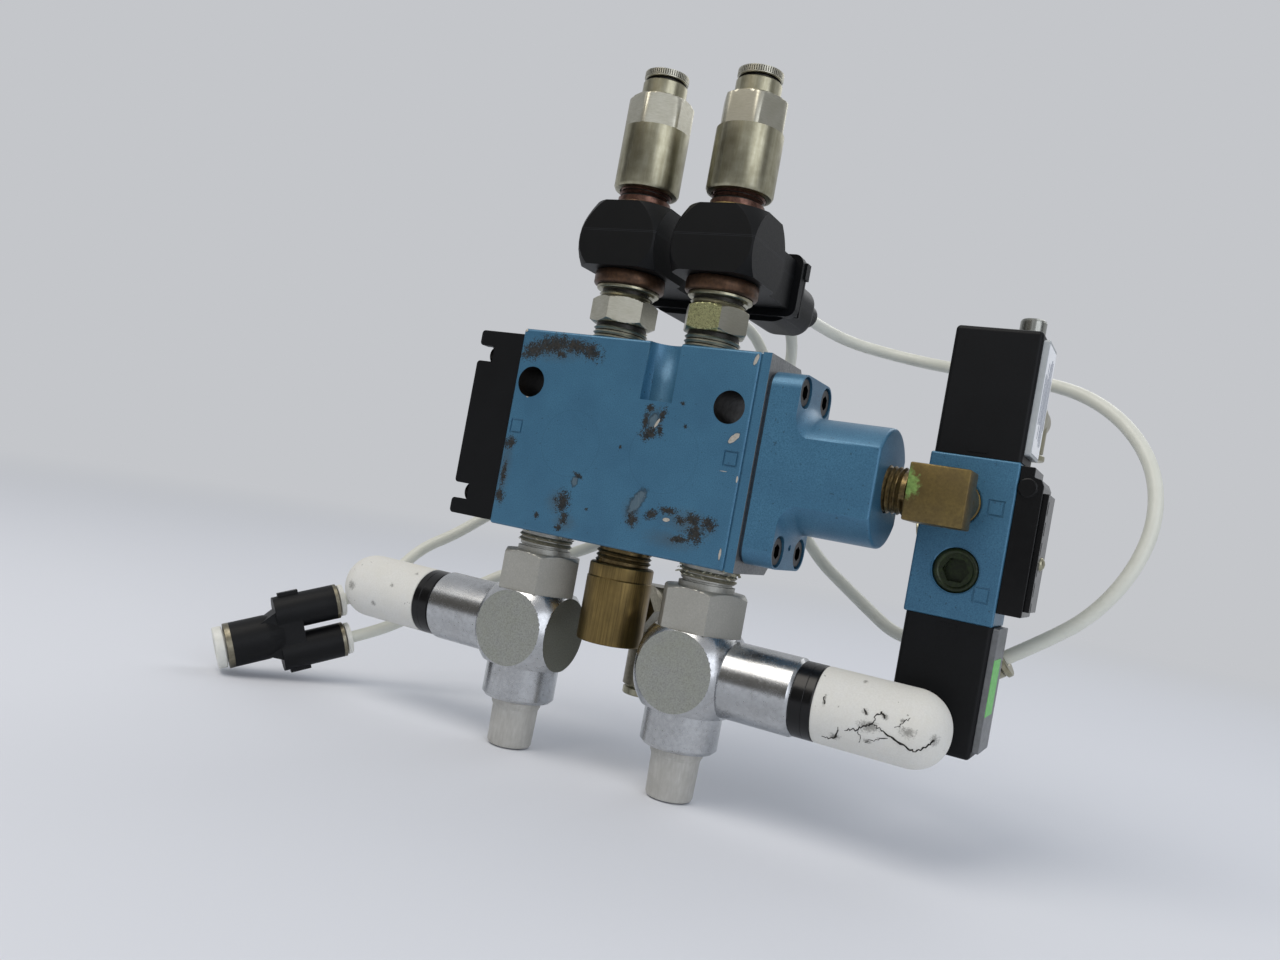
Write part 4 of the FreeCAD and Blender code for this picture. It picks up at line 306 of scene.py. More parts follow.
def blue_enamel(name, worn):
    """Metallic blue enamel on cast aluminium: a satin coat with fine bright flakes that glint."""
    metal, coat, shine = 0.35, 0.15, 0.5
    material, tree, shader, where, tone = two_tones(
        name, "5084a2", "2c5c79", 0.3, (0.34, 0.48), metal, soft=0.55, relief=0.016,
        slow=(11.0, "2e5876", 0.4), **{"Coat Weight": coat, "Coat Roughness": 0.3})
    # Dust in the coat, here and there a speck
    tone = stain(tree, tone, mottle(tree, where, 0.9, 0.5, detail=1.0), "22394a", 0.95, 1.0, 0.6)
    if worn:
        for x, z, radius in RINGS:
            off = add(tree, "ShaderNodeVectorMath", {1: (x * MM, FACE * MM, z * MM)}, {0: where},
                      operation="DISTANCE")
            rim = away(tree, off.outputs["Value"], radius)
            tone = stain(tree, tone, rim, "24475f", 0.05 * MM, 0.25 * MM, 0.0, 0.16)
        grain = grit(tree, where, 1.6, 0.32)
        haze = spots(tree, where, on_face(HAZE), grain, 0.9)
        tone = stain(tree, tone, haze, "4a4a44", 0.0, 0.9, 0.42)
        scrape = spots(tree, where, on_face(SCRAPES), mottle(tree, where, 0.9, 0.6), 0.6)
        tone = stain(tree, tone, scrape, "23292c", -0.2, 0.1, 0.7)
        scratched = blend_colours(tree, mottle(tree, where, 0.35, 0.7, (1, 1, 6)), "3d5a6c", "6a7b84")
        tone = stain(tree, tone, scrape, scratched, 0.1, 0.34)
        soot = add(tree, "ShaderNodeMapRange", {"From Min": 0.02, "From Max": 0.3, "To Max": 0.93},
                   {"Value": spots(tree, where, on_face(SOOT), grain, 2.6)}).outputs["Result"]
        black = blend_colours(tree, mottle(tree, where, 0.7), "1b1814", "40392f")
        tone = blend_colours(tree, soot, tone, black)
        chips = spots(tree, where, on_face(CHIPS), mottle(tree, where, 1.0, 0.6), 0.35)
        tone = stain(tree, tone, chips, "2a3c48", -0.2, 0.0, 0.55)
        bare = blend_colours(tree, mottle(tree, where, 0.6), "a39c90", "c9c3b8")
        tone = stain(tree, tone, chips, bare, 0.0, 0.1)
        # Dirt has neither the flakes' glint nor the coat's shine
        for socket, clean, loss in (("Metallic", metal, -0.34), ("Coat Weight", coat, -0.16),
                                    ("Specular IOR Level", shine, -0.46)):
            left = add(tree, "ShaderNodeMath", {1: loss, 2: clean}, {0: soot}, operation="MULTIPLY_ADD")
            tree.links.new(left.outputs[0], shader.inputs[socket])
    tree.links.new(tone, shader.inputs["Base Color"])
    return material


SMUDGES = [
    # Grey finger marks and grime on the silencers, with y after x
    (81.9, -23.4, -72.6, 3.4, 1.8, 10), (85.4, -23.2, -69.4, 1.5, 0.9, 0), (80.6, -23.2, -69.4, 0.9, 1.1, 30),
    (97.4, -20.6, -72.3, 1.2, 1.7, 0), (89.7, -23.1, -69.3, 0.8, 0.6, 0), (73.6, -21.6, -77.6, 1.9, 1.1, 0),
    (82.0, -22.4, -76.4, 1.3, 0.8, 0), (91.4, -23.4, -71.6, 2.6, 1.6, 0), (70.0, -23.0, -69.2, 0.5, 1.8, 0),
    (78.1, -18.0, -63.0, 0.8, 0.5, 0), (-88.5, -23.4, -72.0, 1.8, 2.0, 0), (-79.1, -22.6, -76.0, 1.3, 1.1, 0),
    (-72.6, -23.0, -68.8, 0.9, 0.8, 0), (-92.5, -20.0, -78.5, 2.4, 1.6, 0),
    (-66.5, -19.0, -64.0, 1.0, 0.6, 0),
]


def sintered_white():
    """Sintered plastic grains: chalky white with a fine grain, and grime where it was handled."""
    material, tree, shader, where, tone = two_tones(
        "sintered_plastic", "dfdfdb", "d2d1cc", 0.45, (0.75, 0.9), soft=0.6, relief=0.05,
        slow=(9.0, "cfccbd", 0.3), **{"Subsurface Weight": 0.15, "Subsurface Radius": (0.002, 0.0018, 0.0015),
                                      "Subsurface Scale": 1.0})
    grime = spots(tree, where, SMUDGES, grit(tree, where, 1.6, 0.45), 1.7)
    tone = stain(tree, tone, grime, "4c4a42", 0.05, 0.7, 0.62)
    tone = stain(tree, tone, mottle(tree, where, 1.9, 0.5, detail=2.0), "6d6a60", 0.93, 1.0, 0.6)
    tree.links.new(tone, shader.inputs["Base Color"])
    return material


def sealed_brass():
    """Brass with pipe sealant: dull brown metal, green on the corner next to the cap."""
    material, tree, shader, where, tone = two_tones(
        "brass_block", "8a7749", "665838", 0.7, (0.34, 0.5), 0.9, soft=0.6, relief=0.01,
        slow=(5.0, "5a4e38", 0.5))
    sealant = spots(tree, where, [(80.6, -22.1, -12.6, 3.4, 3.6, 0), (79.3, -22.1, -9.6, 2.6, 2.4, 0)],
                    mottle(tree, where, 0.8, 0.6, detail=5.0), 0.9)
    green = add(tree, "ShaderNodeMapRange", {"From Max": 0.35}, {"Value": sealant}).outputs["Result"]
    greens = blend_colours(tree, mottle(tree, where, 0.9), "49622b", "83a356")
    tone = blend_colours(tree, green, tone, greens)
    tree.links.new(tone, shader.inputs["Base Color"])
    dull = add(tree, "ShaderNodeMath", {1: -0.85, 2: 0.9}, {0: green}, operation="MULTIPLY_ADD")
    tree.links.new(dull.outputs[0], shader.inputs["Metallic"])
    return material


def parted_plastic(name, levels):
    """Black nylon with the thin parting line of its mould at each level, drawn in painted light: a dark line
    of painted shade between lighter edges of painted highlight.
    """
    material, tree, shader, where, tone = two_tones(
        name, "0f1011", "0a0b0c", 0.5, (0.42, 0.52), relief=0.006, slow=(8.0, "131415", 0.4),
        **{"Specular IOR Level": 0.17})
    height = add(tree, "ShaderNodeSeparateXYZ", links={0: where}).outputs["Z"]
    for level in levels:
        off = away(tree, height, level)
        # Lighter edges of painted highlight, then a dark middle of painted shade
        for inner, outer, shade in ((0.16, 0.3, "2b2d30"), (0.08, 0.16, "000000")):
            tone = stain(tree, tone, off, shade, inner * MM, outer * MM, 0.0, 1.0)
    tree.links.new(tone, shader.inputs["Base Color"])
    return material


BLUE_WORN = blue_enamel("blue_enamel_worn", True)
BLUE = blue_enamel("blue_enamel", False)
SINTERED = sintered_white()
BRASS_BLOCK = sealed_brass()
CUBE_PLASTIC = parted_plastic("moulded_nylon_parted", [46.6])
# Natural nylon tube: milky white and smooth
NYLON_TUBE = two_tones("natural_nylon", "dcddd3", "d2d3c8", 6.0, (0.3, 0.36), soft=0.6,
                       **{"Coat Weight": 0.1, "Specular IOR Level": 0.3})[0]
# Moulded nylon: near black and matte, a fine even grain
BLACK = two_tones("moulded_nylon", "101113", "0a0b0c", 0.45, (0.42, 0.54), relief=0.006,
                  slow=(10.0, "141517", 0.4), **{"Specular IOR Level": 0.18})[0]
# Polished moulded plastic: near black, smooth, with a clear gloss
GLOSS_BLACK = two_tones("glossy_plastic", "0d0d0e", "0a0a0b", 3.0, (0.22, 0.28),
                        **{"Specular IOR Level": 0.32})[0]
# A hole that was never painted: grime, and the shade inside the hole painted in as near black
DIRTY_SHADED_BORE = two_tones("oily_bore", "1c1712", "0b0908", 1.5, (0.4, 0.55), 0.3, relief=0.02,
                      **{"Specular IOR Level": 0.3})[0]
# Dark lines along the cracks in the sintered plastic
CRACK = two_tones("dust_in_crack", "2c2b27", "151412", 0.5, (0.8, 0.9), relief=0.01)[0]
# Nickel plate on turned brass: warm grey, polished, with soft streaks along the part
NICKEL = two_tones("nickel_plate", "c0bda8", "8f8a72", 1.2, (0.27, 0.38), 1.0, (1, 1, 9), soft=0.7,
                   slow=(4.0, "757059", 0.55))[0]
# The same plate on milled flats: frosted, with faint cross marks
NICKEL_FLAT = two_tones("nickel_milled", "c4c2b5", "aeab9d", 0.5, (0.3, 0.42), 1.0, (4, 4, 0.6),
                        relief=0.004, slow=(4.0, "98957f", 0.35))[0]
# A flat left coarse by the saw: it glitters yellow and green
SAWN_FLAT = two_tones("nickel_sawn", "e2e4ae", "5f5f42", 0.42, (0.24, 0.5), 0.95, soft=0.4, relief=0.06)[0]
# Nickel plate, dull, painted darker as shade and olive as the brass it reflects
SHADED_OLIVE_NICKEL = two_tones("nickel_aged", "948f80", "746f60", 0.9, (0.3, 0.42), 0.95, soft=0.6,
                        slow=(4.0, "57523f", 0.5))[0]
# Zinc casting, chrome plated and polished: cold and bright, a little uneven
CHROME = two_tones("chromed_zinc", "c6c8ca", "b0b2b4", 1.3, (0.2, 0.3), 1.0, relief=0.003,
                   slow=(7.0, "9a9a99", 0.35))[0]
# The casting's raw faces: sandy and matte, with a yellow and green glint
CAST_FACE = two_tones("cast_zinc", "b7b9b3", "8d8f8c", 0.4, (0.38, 0.56), 0.8, soft=0.5, relief=0.05,
                      slow=(4.0, "9fa28c", 0.3))[0]
# The end face opposite the arm: rougher, and painted darker as shade
CAST_SHADED_END = two_tones("cast_zinc_end", "7f8075", "62635b", 0.4, (0.45, 0.6), 0.8, soft=0.5, relief=0.05,
                     slow=(4.0, "6d6e5e", 0.4))[0]
# Turned aluminium, bead blasted: pale grey and even
ALUMINIUM = two_tones("blasted_aluminium", "bebdb6", "aaa9a2", 0.4, (0.42, 0.52), 0.7, relief=0.008,
                      slow=(7.0, "9c9b93", 0.35))[0]
# Aluminium stub: the same, turned, paler, with a little grime
STUB_METAL = two_tones("turned_aluminium", "c7c6c1", "b4b2ac", 0.8, (0.4, 0.5), 0.4, (1, 1, 5),
                       relief=0.006, slow=(5.0, "98968d", 0.4))[0]
# Bare cast aluminium where the end plate isn't painted
BARE_PLATE = two_tones("bare_aluminium", "a3a4a4", "7e7f80", 0.7, (0.4, 0.55), 0.8, relief=0.02,
                       slow=(4.0, "77787a", 0.5))[0]
# Turned brass, tarnished: dark olive, with streaks down its side
BRASS = two_tones("tarnished_brass", "9c8551", "574930", 0.45, (0.3, 0.44), 0.95, (1, 1, 30), soft=0.6,
                  relief=0.004, slow=(6.0, "4b412d", 0.4))[0]
# Threads dark with old oil and sealant
DARK_THREAD = two_tones("oiled_thread", "85724a", "3d3220", 1.2, (0.3, 0.42), 0.75, soft=0.6)[0]
# Thread with old sealing tape pressed into it
OLD_THREAD = two_tones("taped_thread", "aaa592", "77715c", 1.0, (0.4, 0.52), 0.5, soft=0.6, relief=0.01)[0]
# Near black at the bottom of a thread and in narrow gaps: oil, and painted shade
OILY_SHADED_ROOT = two_tones("oily_root", "242119", "110f0b", 1.2, (0.35, 0.5), 0.4)[0]
# Copper seal, browned
COPPER = two_tones("browned_copper", "6d503b", "43332a", 1.0, (0.34, 0.46), 0.8, relief=0.008,
                   slow=(3.0, "352a20", 0.5))[0]
# Copper-brown stain on the stud's upper thread
COPPER_THREAD = two_tones("stained_thread", "7b5a4d", "43302a", 1.2, (0.28, 0.4), 0.85)[0]
# Blackened steel screws
BLACK_STEEL = two_tones("blackened_steel", "1f1d1b", "100f0e", 0.8, (0.28, 0.4), 0.8)[0]
# Steel spring, spool and pins
STEEL = two_tones("ground_steel", "b5b7b9", "97999b", 0.8, (0.25, 0.35), 1.0)[0]
# Seal rubber
RUBBER = two_tones("seal_rubber", "141414", "0c0c0c", 0.8, (0.6, 0.7), relief=0.02,
                   **{"Specular IOR Level": 0.3})[0]
# Fibre gasket, with blue from the enamel on its edge
GASKET = two_tones("painted_gasket", "1f3444", "142029", 0.8, (0.6, 0.7), relief=0.02)[0]
# White acetal: smooth, a little waxy
ACETAL = two_tones("white_acetal", "dfdfd9", "d0d0c8", 2.0, (0.35, 0.45), soft=0.6,
                   **{"Subsurface Weight": 0.3, "Subsurface Radius": (0.002, 0.002, 0.0018),
                      "Subsurface Scale": 1.0})[0]
# Grey painted side plates
GREY_PLATE = two_tones("grey_plate", "b4b9bb", "a3a8aa", 1.5, (0.4, 0.5), 0.1, relief=0.005,
                       slow=(6.0, "93989a", 0.35))[0]
# The lower plate is bare and darker
DARK_PLATE = two_tones("bare_plate", "808284", "6d6f71", 1.2, (0.4, 0.5), 0.5, relief=0.005,
                       slow=(5.0, "5c5e5f", 0.4))[0]
# Coated paper, its print and a green label
PAPER = two_tones("label_paper", "fbfcfd", "f3f5f8", 1.5, (0.35, 0.45))[0]
PRINT = two_tones("label_print", "5a6780", "4a5468", 0.6, (0.5, 0.6))[0]
GREEN_LABEL = two_tones("green_label", "72c765", "62b458", 1.2, (0.45, 0.55))[0]
# The plug: dark metal under green sealant
GREEN_PLUG = two_tones("sealed_plug", "33421f", "12170e", 0.8, (0.3, 0.45), 0.4, soft=0.6, relief=0.01,
                       slow=(2.5, "12140f", 0.5))[0]
# Sealing tape, torn and a little yellow
TAPE = two_tones("sealing_tape", "dedbc8", "b3ab86", 0.7, (0.5, 0.7), soft=0.6, relief=0.02)[0]
# Steel knob, brushed round its side
KNOB_METAL = two_tones("brushed_steel", "a9aaa4", "8b8c86", 0.4, (0.24, 0.34), 1.0, (1, 1, 12))[0]


# Shapes that repeat, as Geometry Nodes trees
def new_tree(name, inputs):
    """A tree with its named inputs, and the sockets that give them."""
    tree = bpy.data.node_groups.new(name, "GeometryNodeTree")
    for label, kind in inputs.items():
        tree.interface.new_socket(label, in_out="INPUT", socket_type="NodeSocket" + kind)
    tree.interface.new_socket("Geometry", in_out="OUTPUT", socket_type="NodeSocketGeometry")
    return tree, add(tree, "NodeGroupInput").outputs


def end_tree(tree, geometry, finish):
    """Make the copies real, paint them and give them out."""
    whole = add(tree, "GeometryNodeRealizeInstances", links={"Geometry": geometry})
    painted = add(tree, "GeometryNodeSetMaterial", links={"Geometry": whole.outputs["Geometry"],
                                                          "Material": finish})
    add(tree, "NodeGroupOutput", links={"Geometry": painted.outputs["Geometry"]})
    return tree


def repeat(tree, given, points, piece, **turns):
    """Copies of a piece at the points of a mesh, as one painted mesh."""
    copies = add(tree, "GeometryNodeInstanceOnPoints", links={"Points": points, "Instance": piece, **turns})
    return end_tree(tree, copies.outputs["Instances"], given["Finish"])


RIDGE_DEPTH = 0.4


def thread_tree():
    """One ridge that climbs round a core, as a thread does."""
    tree, given = new_tree("thread_ridge", {"Crest": "Float", "Pitch": "Float", "Turns": "Float",
                                            "Finish": "Material"})
    deep = add(tree, "ShaderNodeMath", {1: RIDGE_DEPTH}, {0: given["Pitch"]}, operation="MULTIPLY").outputs[0]
    root = add(tree, "ShaderNodeMath", links={0: given["Crest"], 1: deep}, operation="SUBTRACT").outputs[0]
    rise = add(tree, "ShaderNodeMath", links={0: given["Pitch"], 1: given["Turns"]}, operation="MULTIPLY")
    spiral = add(tree, "GeometryNodeCurveSpiral", {"Resolution": 60},
                 {"Rotations": given["Turns"], "Start Radius": root, "End Radius": root,
                  "Height": rise.outputs[0]})
    upright = add(tree, "GeometryNodeSetCurveNormal", links={"Curve": spiral.outputs["Curve"]}, mode="Z_UP")
    section = add(tree, "GeometryNodeCurvePrimitiveCircle", {"Resolution": 4}, {"Radius": deep})
    ridge = add(tree, "GeometryNodeCurveToMesh", {"Fill Caps": True},
                {"Curve": upright.outputs["Curve"], "Profile Curve": section.outputs["Curve"]})
    return end_tree(tree, ridge.outputs["Mesh"], given["Finish"])


def knurl_tree():
    """Fine teeth round a ring, each turned to face outwards."""
    tree, given = new_tree("knurled_ring", {"Count": "Int", "Radius": "Float", "Size": "Vector",
                                            "Finish": "Material"})
    ring = add(tree, "GeometryNodeMeshCircle", links={"Vertices": given["Count"], "Radius": given["Radius"]})
    where = add(tree, "GeometryNodeInputPosition").outputs[0]
    point = add(tree, "ShaderNodeSeparateXYZ", links={0: where}).outputs
    angle = add(tree, "ShaderNodeMath", links={0: point["Y"], 1: point["X"]}, operation="ARCTAN2")
    turn = add(tree, "ShaderNodeCombineXYZ", links={"Z": angle.outputs[0]})
    facing = add(tree, "FunctionNodeEulerToRotation", links={0: turn.outputs[0]})
    tooth = add(tree, "GeometryNodeMeshCube", links={"Size": given["Size"]})
    return repeat(tree, given, ring.outputs["Mesh"], tooth.outputs["Mesh"], Rotation=facing.outputs[0])


def copies_tree():
    """The same piece at each point of the mesh."""
    tree, given = new_tree("same_at_each_point", {"Base": "Geometry", "Piece": "Object",
                                                  "Finish": "Material"})
    piece = add(tree, "GeometryNodeObjectInfo", links={"Object": given["Piece"]})
    return repeat(tree, given, given["Base"], piece.outputs["Geometry"])


def lines_tree():
    """Printed lines of uneven length, one above the other."""
    tree, given = new_tree("printed_lines", {"Count": "Int", "Step": "Vector", "Size": "Vector",
                                             "Seed": "Int", "Finish": "Material"})
    column = add(tree, "GeometryNodeMeshLine", links={"Count": given["Count"], "Offset": given["Step"]})
    bar = add(tree, "GeometryNodeMeshCube", links={"Size": given["Size"]})
    length = add(tree, "FunctionNodeRandomValue", {"Min": (1.0, 0.35, 0.45), "Max": (1.0, 1.0, 1.0)},
                 {"Seed": given["Seed"]}, data_type="FLOAT_VECTOR")
    return repeat(tree, given, column.outputs["Mesh"], bar.outputs["Mesh"], Scale=length.outputs["Value"])


def shreds_tree():
    """Torn shreds of tape round a thread, each at its own height, turn and size."""
    tree, given = new_tree("tape_shreds", {"Count": "Int", "Radius": "Float", "High": "Float",
                                           "Size": "Vector", "Seed": "Int", "Finish": "Material"})
    ring = add(tree, "GeometryNodeMeshCircle", links={"Vertices": given["Count"], "Radius": given["Radius"]})
    rise, turn, size = [add(tree, "FunctionNodeRandomValue", {"Min": low, "Max": high},
                            {"Seed": given["Seed"]}, data_type="FLOAT_VECTOR").outputs["Value"]
                        for low, high in (((-0.2, -0.2, 0.0), (0.2, 0.2, 1.0)),
                                          ((-0.5, -1.0, 0.0), (0.5, 1.0, 6.28)),
                                          ((0.4, 0.5, 0.4), (1.2, 1.2, 1.5)))]
    shift = add(tree, "ShaderNodeVectorMath", links={0: rise, 1: given["High"]}, operation="MULTIPLY")
    moved = add(tree, "GeometryNodeSetPosition",
                links={"Geometry": ring.outputs["Mesh"], "Offset": shift.outputs["Vector"]})
    facing = add(tree, "FunctionNodeEulerToRotation", links={0: turn})
    shred = add(tree, "GeometryNodeMeshCube", links={"Size": given["Size"]})
    return repeat(tree, given, moved.outputs["Geometry"], shred.outputs["Mesh"],
                  Rotation=facing.outputs[0], Scale=size)


THREAD, KNURL, COPIES = thread_tree(), knurl_tree(), copies_tree()
LINES, SHREDS = lines_tree(), shreds_tree()


def baked(passing):
    """The plain mesh that a passing object gives. The object goes."""
    bpy.context.view_layer.update()
    made = bpy.data.meshes.new_from_object(passing.evaluated_get(bpy.context.evaluated_depsgraph_get()))
    bpy.data.objects.remove(passing)
    return made


def grow(tree, base=None, **inputs):
    """Run a tree on a passing object and give back a plain mesh."""
    seed = new_object("seed", base or bpy.data.meshes.new("seed"))
    modifier = seed.modifiers.new("tree", "NODES")
    modifier.node_group = tree
    for socket in tree.interface.items_tree:
        if socket.in_out == "INPUT" and socket.name in inputs:
            modifier[socket.identifier] = inputs[socket.name]
    return baked(seed)


# Mesh code
UP, DOWN = Matrix(), Matrix.Rotation(math.pi, 4, "X")
RIGHT, LEFT = Matrix.Rotation(math.pi / 2, 4, "Y"), Matrix.Rotation(-math.pi / 2, 4, "Y")
FRONT, BACK = Matrix.Rotation(math.pi / 2, 4, "X"), Matrix.Rotation(-math.pi / 2, 4, "X")


def at(x, y, z, way=UP):
    return Matrix.Translation((x * MM, y * MM, z * MM)) @ way


def hexagon(across, limit=1000.0, turn=0):
    """The radius of a hexagon at each angle, cut back to a circle; turn 0 puts a corner on X."""
    def radius(angle):
        from_flat = (angle - math.radians(turn)) % (math.pi / 3) - math.pi / 6
        return min(across / 2 / math.cos(from_flat), limit)
    return radius


def bevelled_hex(across, low, high, turn=0, both_ends=True):
    """A hexagon's profile, painted 1, with its corners turned off at 30 degrees at its low end or at both."""
    slope = math.tan(math.radians(30))
    deep = (across / 2 / math.cos(math.pi / 6) - across / 2) * slope
    steps = [deep * share for share in (0.0, 0.25, 0.5, 0.75, 1.0)]
    rules = [hexagon(across, across / 2 + step / slope, turn) for step in steps]
    profile = [(rule, low + step, 1) for rule, step in zip(rules, steps)]
    if not both_ends:
        return profile + [(hexagon(across, turn=turn), high, 1)]
    return profile + [(rule, high - step, 1) for rule, step in zip(rules[::-1], steps[::-1])]


def revolve(bm, profile, place, sides=96, loop=False):
    """Turn a profile about Z. A radius may be a rule for each angle. A third value is the paint of the band
    that ends at the point."""
    rings = []
    for radius, height, *_ in profile:
        if radius == 0:
            rings.append([bm.verts.new(place @ Vector((0, 0, height * MM)))])
            continue
        ring = []
        for i in range(sides):
            angle = 2 * math.pi * i / sides
            r = (radius(angle) if callable(radius) else radius) * MM
            ring.append(bm.verts.new(place @ Vector((r * math.cos(angle), r * math.sin(angle), height * MM))))
        rings.append(ring)
    bands = list(zip(rings, rings[1:], profile[1:]))
    if loop:
        bands.append((rings[-1], rings[0], profile[0]))
    for low, high, (_, _, *paint) in bands:
        for i in range(sides):
            j = (i + 1) % sides
            corners = [low[i % len(low)], low[j % len(low)], high[j % len(high)], high[i % len(high)]]
            corners = [c for k, c in enumerate(corners) if c is not corners[k - 1]]
            if len(corners) > 2:
                bm.faces.new(corners).material_index = paint[0] if paint else 0
    if not loop:
        for ring, (_, _, *paint) in ((rings[0], profile[0]), (rings[-1], profile[-1])):
            if len(ring) > 1:
                bm.faces.new(ring).material_index = paint[0] if paint else 0


def take(bm, mesh, place, paint=0):
    """Add a made mesh to a piece, at its place."""
    faces, verts = len(bm.faces), len(bm.verts)
    bm.from_mesh(mesh)
    bm.verts.ensure_lookup_table()
    bm.faces.ensure_lookup_table()
    bmesh.ops.transform(bm, matrix=place, verts=bm.verts[verts:])
    for face in bm.faces[faces:]:
        face.material_index = paint


PITCH = 1.337


def thread(bm, crest, low, high, place, paint=0):
    """A thread's ridge between two heights of a turned piece."""
    ridge = grow(THREAD, Crest=crest * MM, Pitch=PITCH * MM, Turns=(high - low - PITCH) / PITCH)
    take(bm, ridge, place @ at(0, 0, low + PITCH / 2), paint)


def box(bm, centre, size, place=UP):
    """Add a block of a size, in millimetres."""
    bmesh.ops.create_cube(bm, size=1.0, matrix=place @ at(*centre)
                          @ Matrix.Diagonal((*[value * MM for value in size], 1.0)))


def as_mesh(name, bm):
    """What was built, as a mesh of that name."""
    mesh = bpy.data.meshes.new(name)
    bm.to_mesh(mesh)
    bm.free()
    return mesh


# Corners nearer than this are one
MERGED = 0.002 * MM


def put(name, bm, paints, nodes=(), body=None, smooth=32.0, between=None):
    """Show a finished piece in place of CAD nodes, riding on their body; with between given, it rides on
    none, and the bodies and ends in between are not used.
    """
    bmesh.ops.remove_doubles(bm, verts=bm.verts, dist=MERGED)
    bmesh.ops.dissolve_degenerate(bm, edges=bm.edges, dist=MERGED)
    bmesh.ops.recalc_face_normals(bm, faces=bm.faces)
    mesh = as_mesh(name, bm)
    for paint in paints:
        mesh.materials.append(paint)
    mesh.shade_smooth()
    mesh.set_sharp_from_angle(angle=math.radians(smooth))
    piece = new_object(name, mesh)
    if between:
        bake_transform(piece)
    else:
        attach(piece, body or frame["nodes"][nodes[0]]["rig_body"])
    if nodes:
        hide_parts(*nodes)
    return piece


def turned(name, node, paints, profile, place, loop=True, sides=96, threads=()):
    """A piece turned on a lathe, in place of a CAD node. A thread is its crest, two ends and paint."""
    bm = bmesh.new()
    revolve(bm, profile, place, sides, loop)
    for crest, low, high, paint in threads:
        thread(bm, crest, low, high, place, paint)
    put(name, bm, paints, [node])


def ease(piece, bevel, limit=40):
    """Take the edges off where two faces meet at more than an angle in degrees."""
    if bevel:
        edges = piece.modifiers.new("eased_edges", "BEVEL")
        edges.width, edges.segments = bevel * MM, 2
        edges.limit_method, edges.angle_limit = "ANGLE", math.radians(limit)
    piece.modifiers.new("flat_faces", "WEIGHTED_NORMAL").keep_sharp = True
    return piece


def dress(node, paints, bevel=0.0, choose=None):
    """A merged copy of a CAD node with its edges eased. choose gives the material of a face."""
    bm = bmesh.new()
    bm.from_mesh(frame["nodes"][node].data)
    bmesh.ops.remove_doubles(bm, verts=bm.verts, dist=MERGED)
    bmesh.ops.dissolve_limit(bm, angle_limit=math.radians(0.5), verts=bm.verts, edges=bm.edges)
    for face in bm.faces:
        face.material_index = choose(face) if choose else 0
    return ease(put(node + "_finished", bm, paints, [node], smooth=30.0), bevel)


def paint_node(node, finish):
    """Give a CAD node that stays a finish of its own."""
    mesh = frame["nodes"][node].data
    mesh.materials.clear()
    mesh.materials.append(finish)


# The body's faces, and the middle line and height of its spool
BODY_TOP, BODY_BOTTOM, MIDDLE_Y, SPOOL_Z = 15.6, -42.9, -13.5, -14.2
# Radii of the threads in the body: crest, root and the stud's upper one
CREST, ROOT, STEM = 8.1, 7.43, 7.8

# Stack on each top port. Heights are from the body's top face
PORT_X = {"left": -12.9, "right": 17.3}
HEX_TURN = {"left": 30, "right": 0}


def port_place(side, rise=0.0):
    return at(PORT_X[side], MIDDLE_Y, BODY_TOP + rise)


def sawn_flat(side, face):
    """Whether a face is the right hexagon's flat that faces left and forwards, the fifth of six."""
    out = face.calc_center_median() - Vector((PORT_X[side], MIDDLE_Y, 0)) * MM
    flat = math.degrees(math.atan2(out.y, out.x)) % 360 // 60
    return side == "right" and face.material_index == 1 and flat == 4


def stud(side):
    """The threaded stud in a port: its milled hexagon, collar and stained upper thread."""
    place = port_place(side)
    bm = bmesh.new()
    # Bands painted 3 are near black: oil, and painted shade in the thread's root, the neck and the stem
    profile = [(4.0, -9.0), (ROOT, -9.0), (ROOT, 5.3, 3), (8.0, 5.5)]
    profile += bevelled_hex(17.0, 5.5, 13.0, HEX_TURN[side])
    profile += [(7.5, 13.0), (7.5, 15.3, 3), (9.1, 15.5), (9.3, 15.7), (9.3, 16.3), (9.1, 16.5),
                (7.1, 16.5, 2), (7.1, 41.5, 3), (7.85, 41.6, 3), (7.85, 43.1, 2), (7.1, 43.4, 3),
                (7.1, 52.9, 3), (4.0, 52.9)]
    revolve(bm, profile, place, loop=True)
    for face in bm.faces:
        if sawn_flat(side, face):
            face.material_index = 4
    thread(bm, CREST, 0.1, 5.3, place, 1)
    thread(bm, 8.2, 12.9, 15.6, place, 1)
    thread(bm, STEM, 43.3, 46.6, place, 2)
    put(side + "_threaded_stud", bm, [NICKEL, NICKEL_FLAT, COPPER_THREAD, OILY_SHADED_ROOT, SAWN_FLAT],
        [side + "_banjo_stud"])


def washers(side):
    """A browned copper seal under the cube, and a thin one on it, of brass at the right."""
    lower = [(7.9, 16.6), (9.7, 16.5), (10.2, 16.8), (10.5, 17.3), (10.5, 20.1), (10.2, 20.6), (9.7, 20.8),
             (7.9, 20.8)]
    upper = [(7.9, 39.8), (8.6, 39.8), (8.8, 40.1), (8.8, 41.1), (8.6, 41.4), (7.9, 41.4)]
    bm = bmesh.new()
    for profile, paint in ((lower, 0), (upper, 1 if side == "right" else 0)):
        revolve(bm, [(*point, paint) for point in profile], port_place(side), loop=True)
    put(side + "_copper_seals", bm, [COPPER, BRASS_BLOCK], [side + "_stud_washers"])


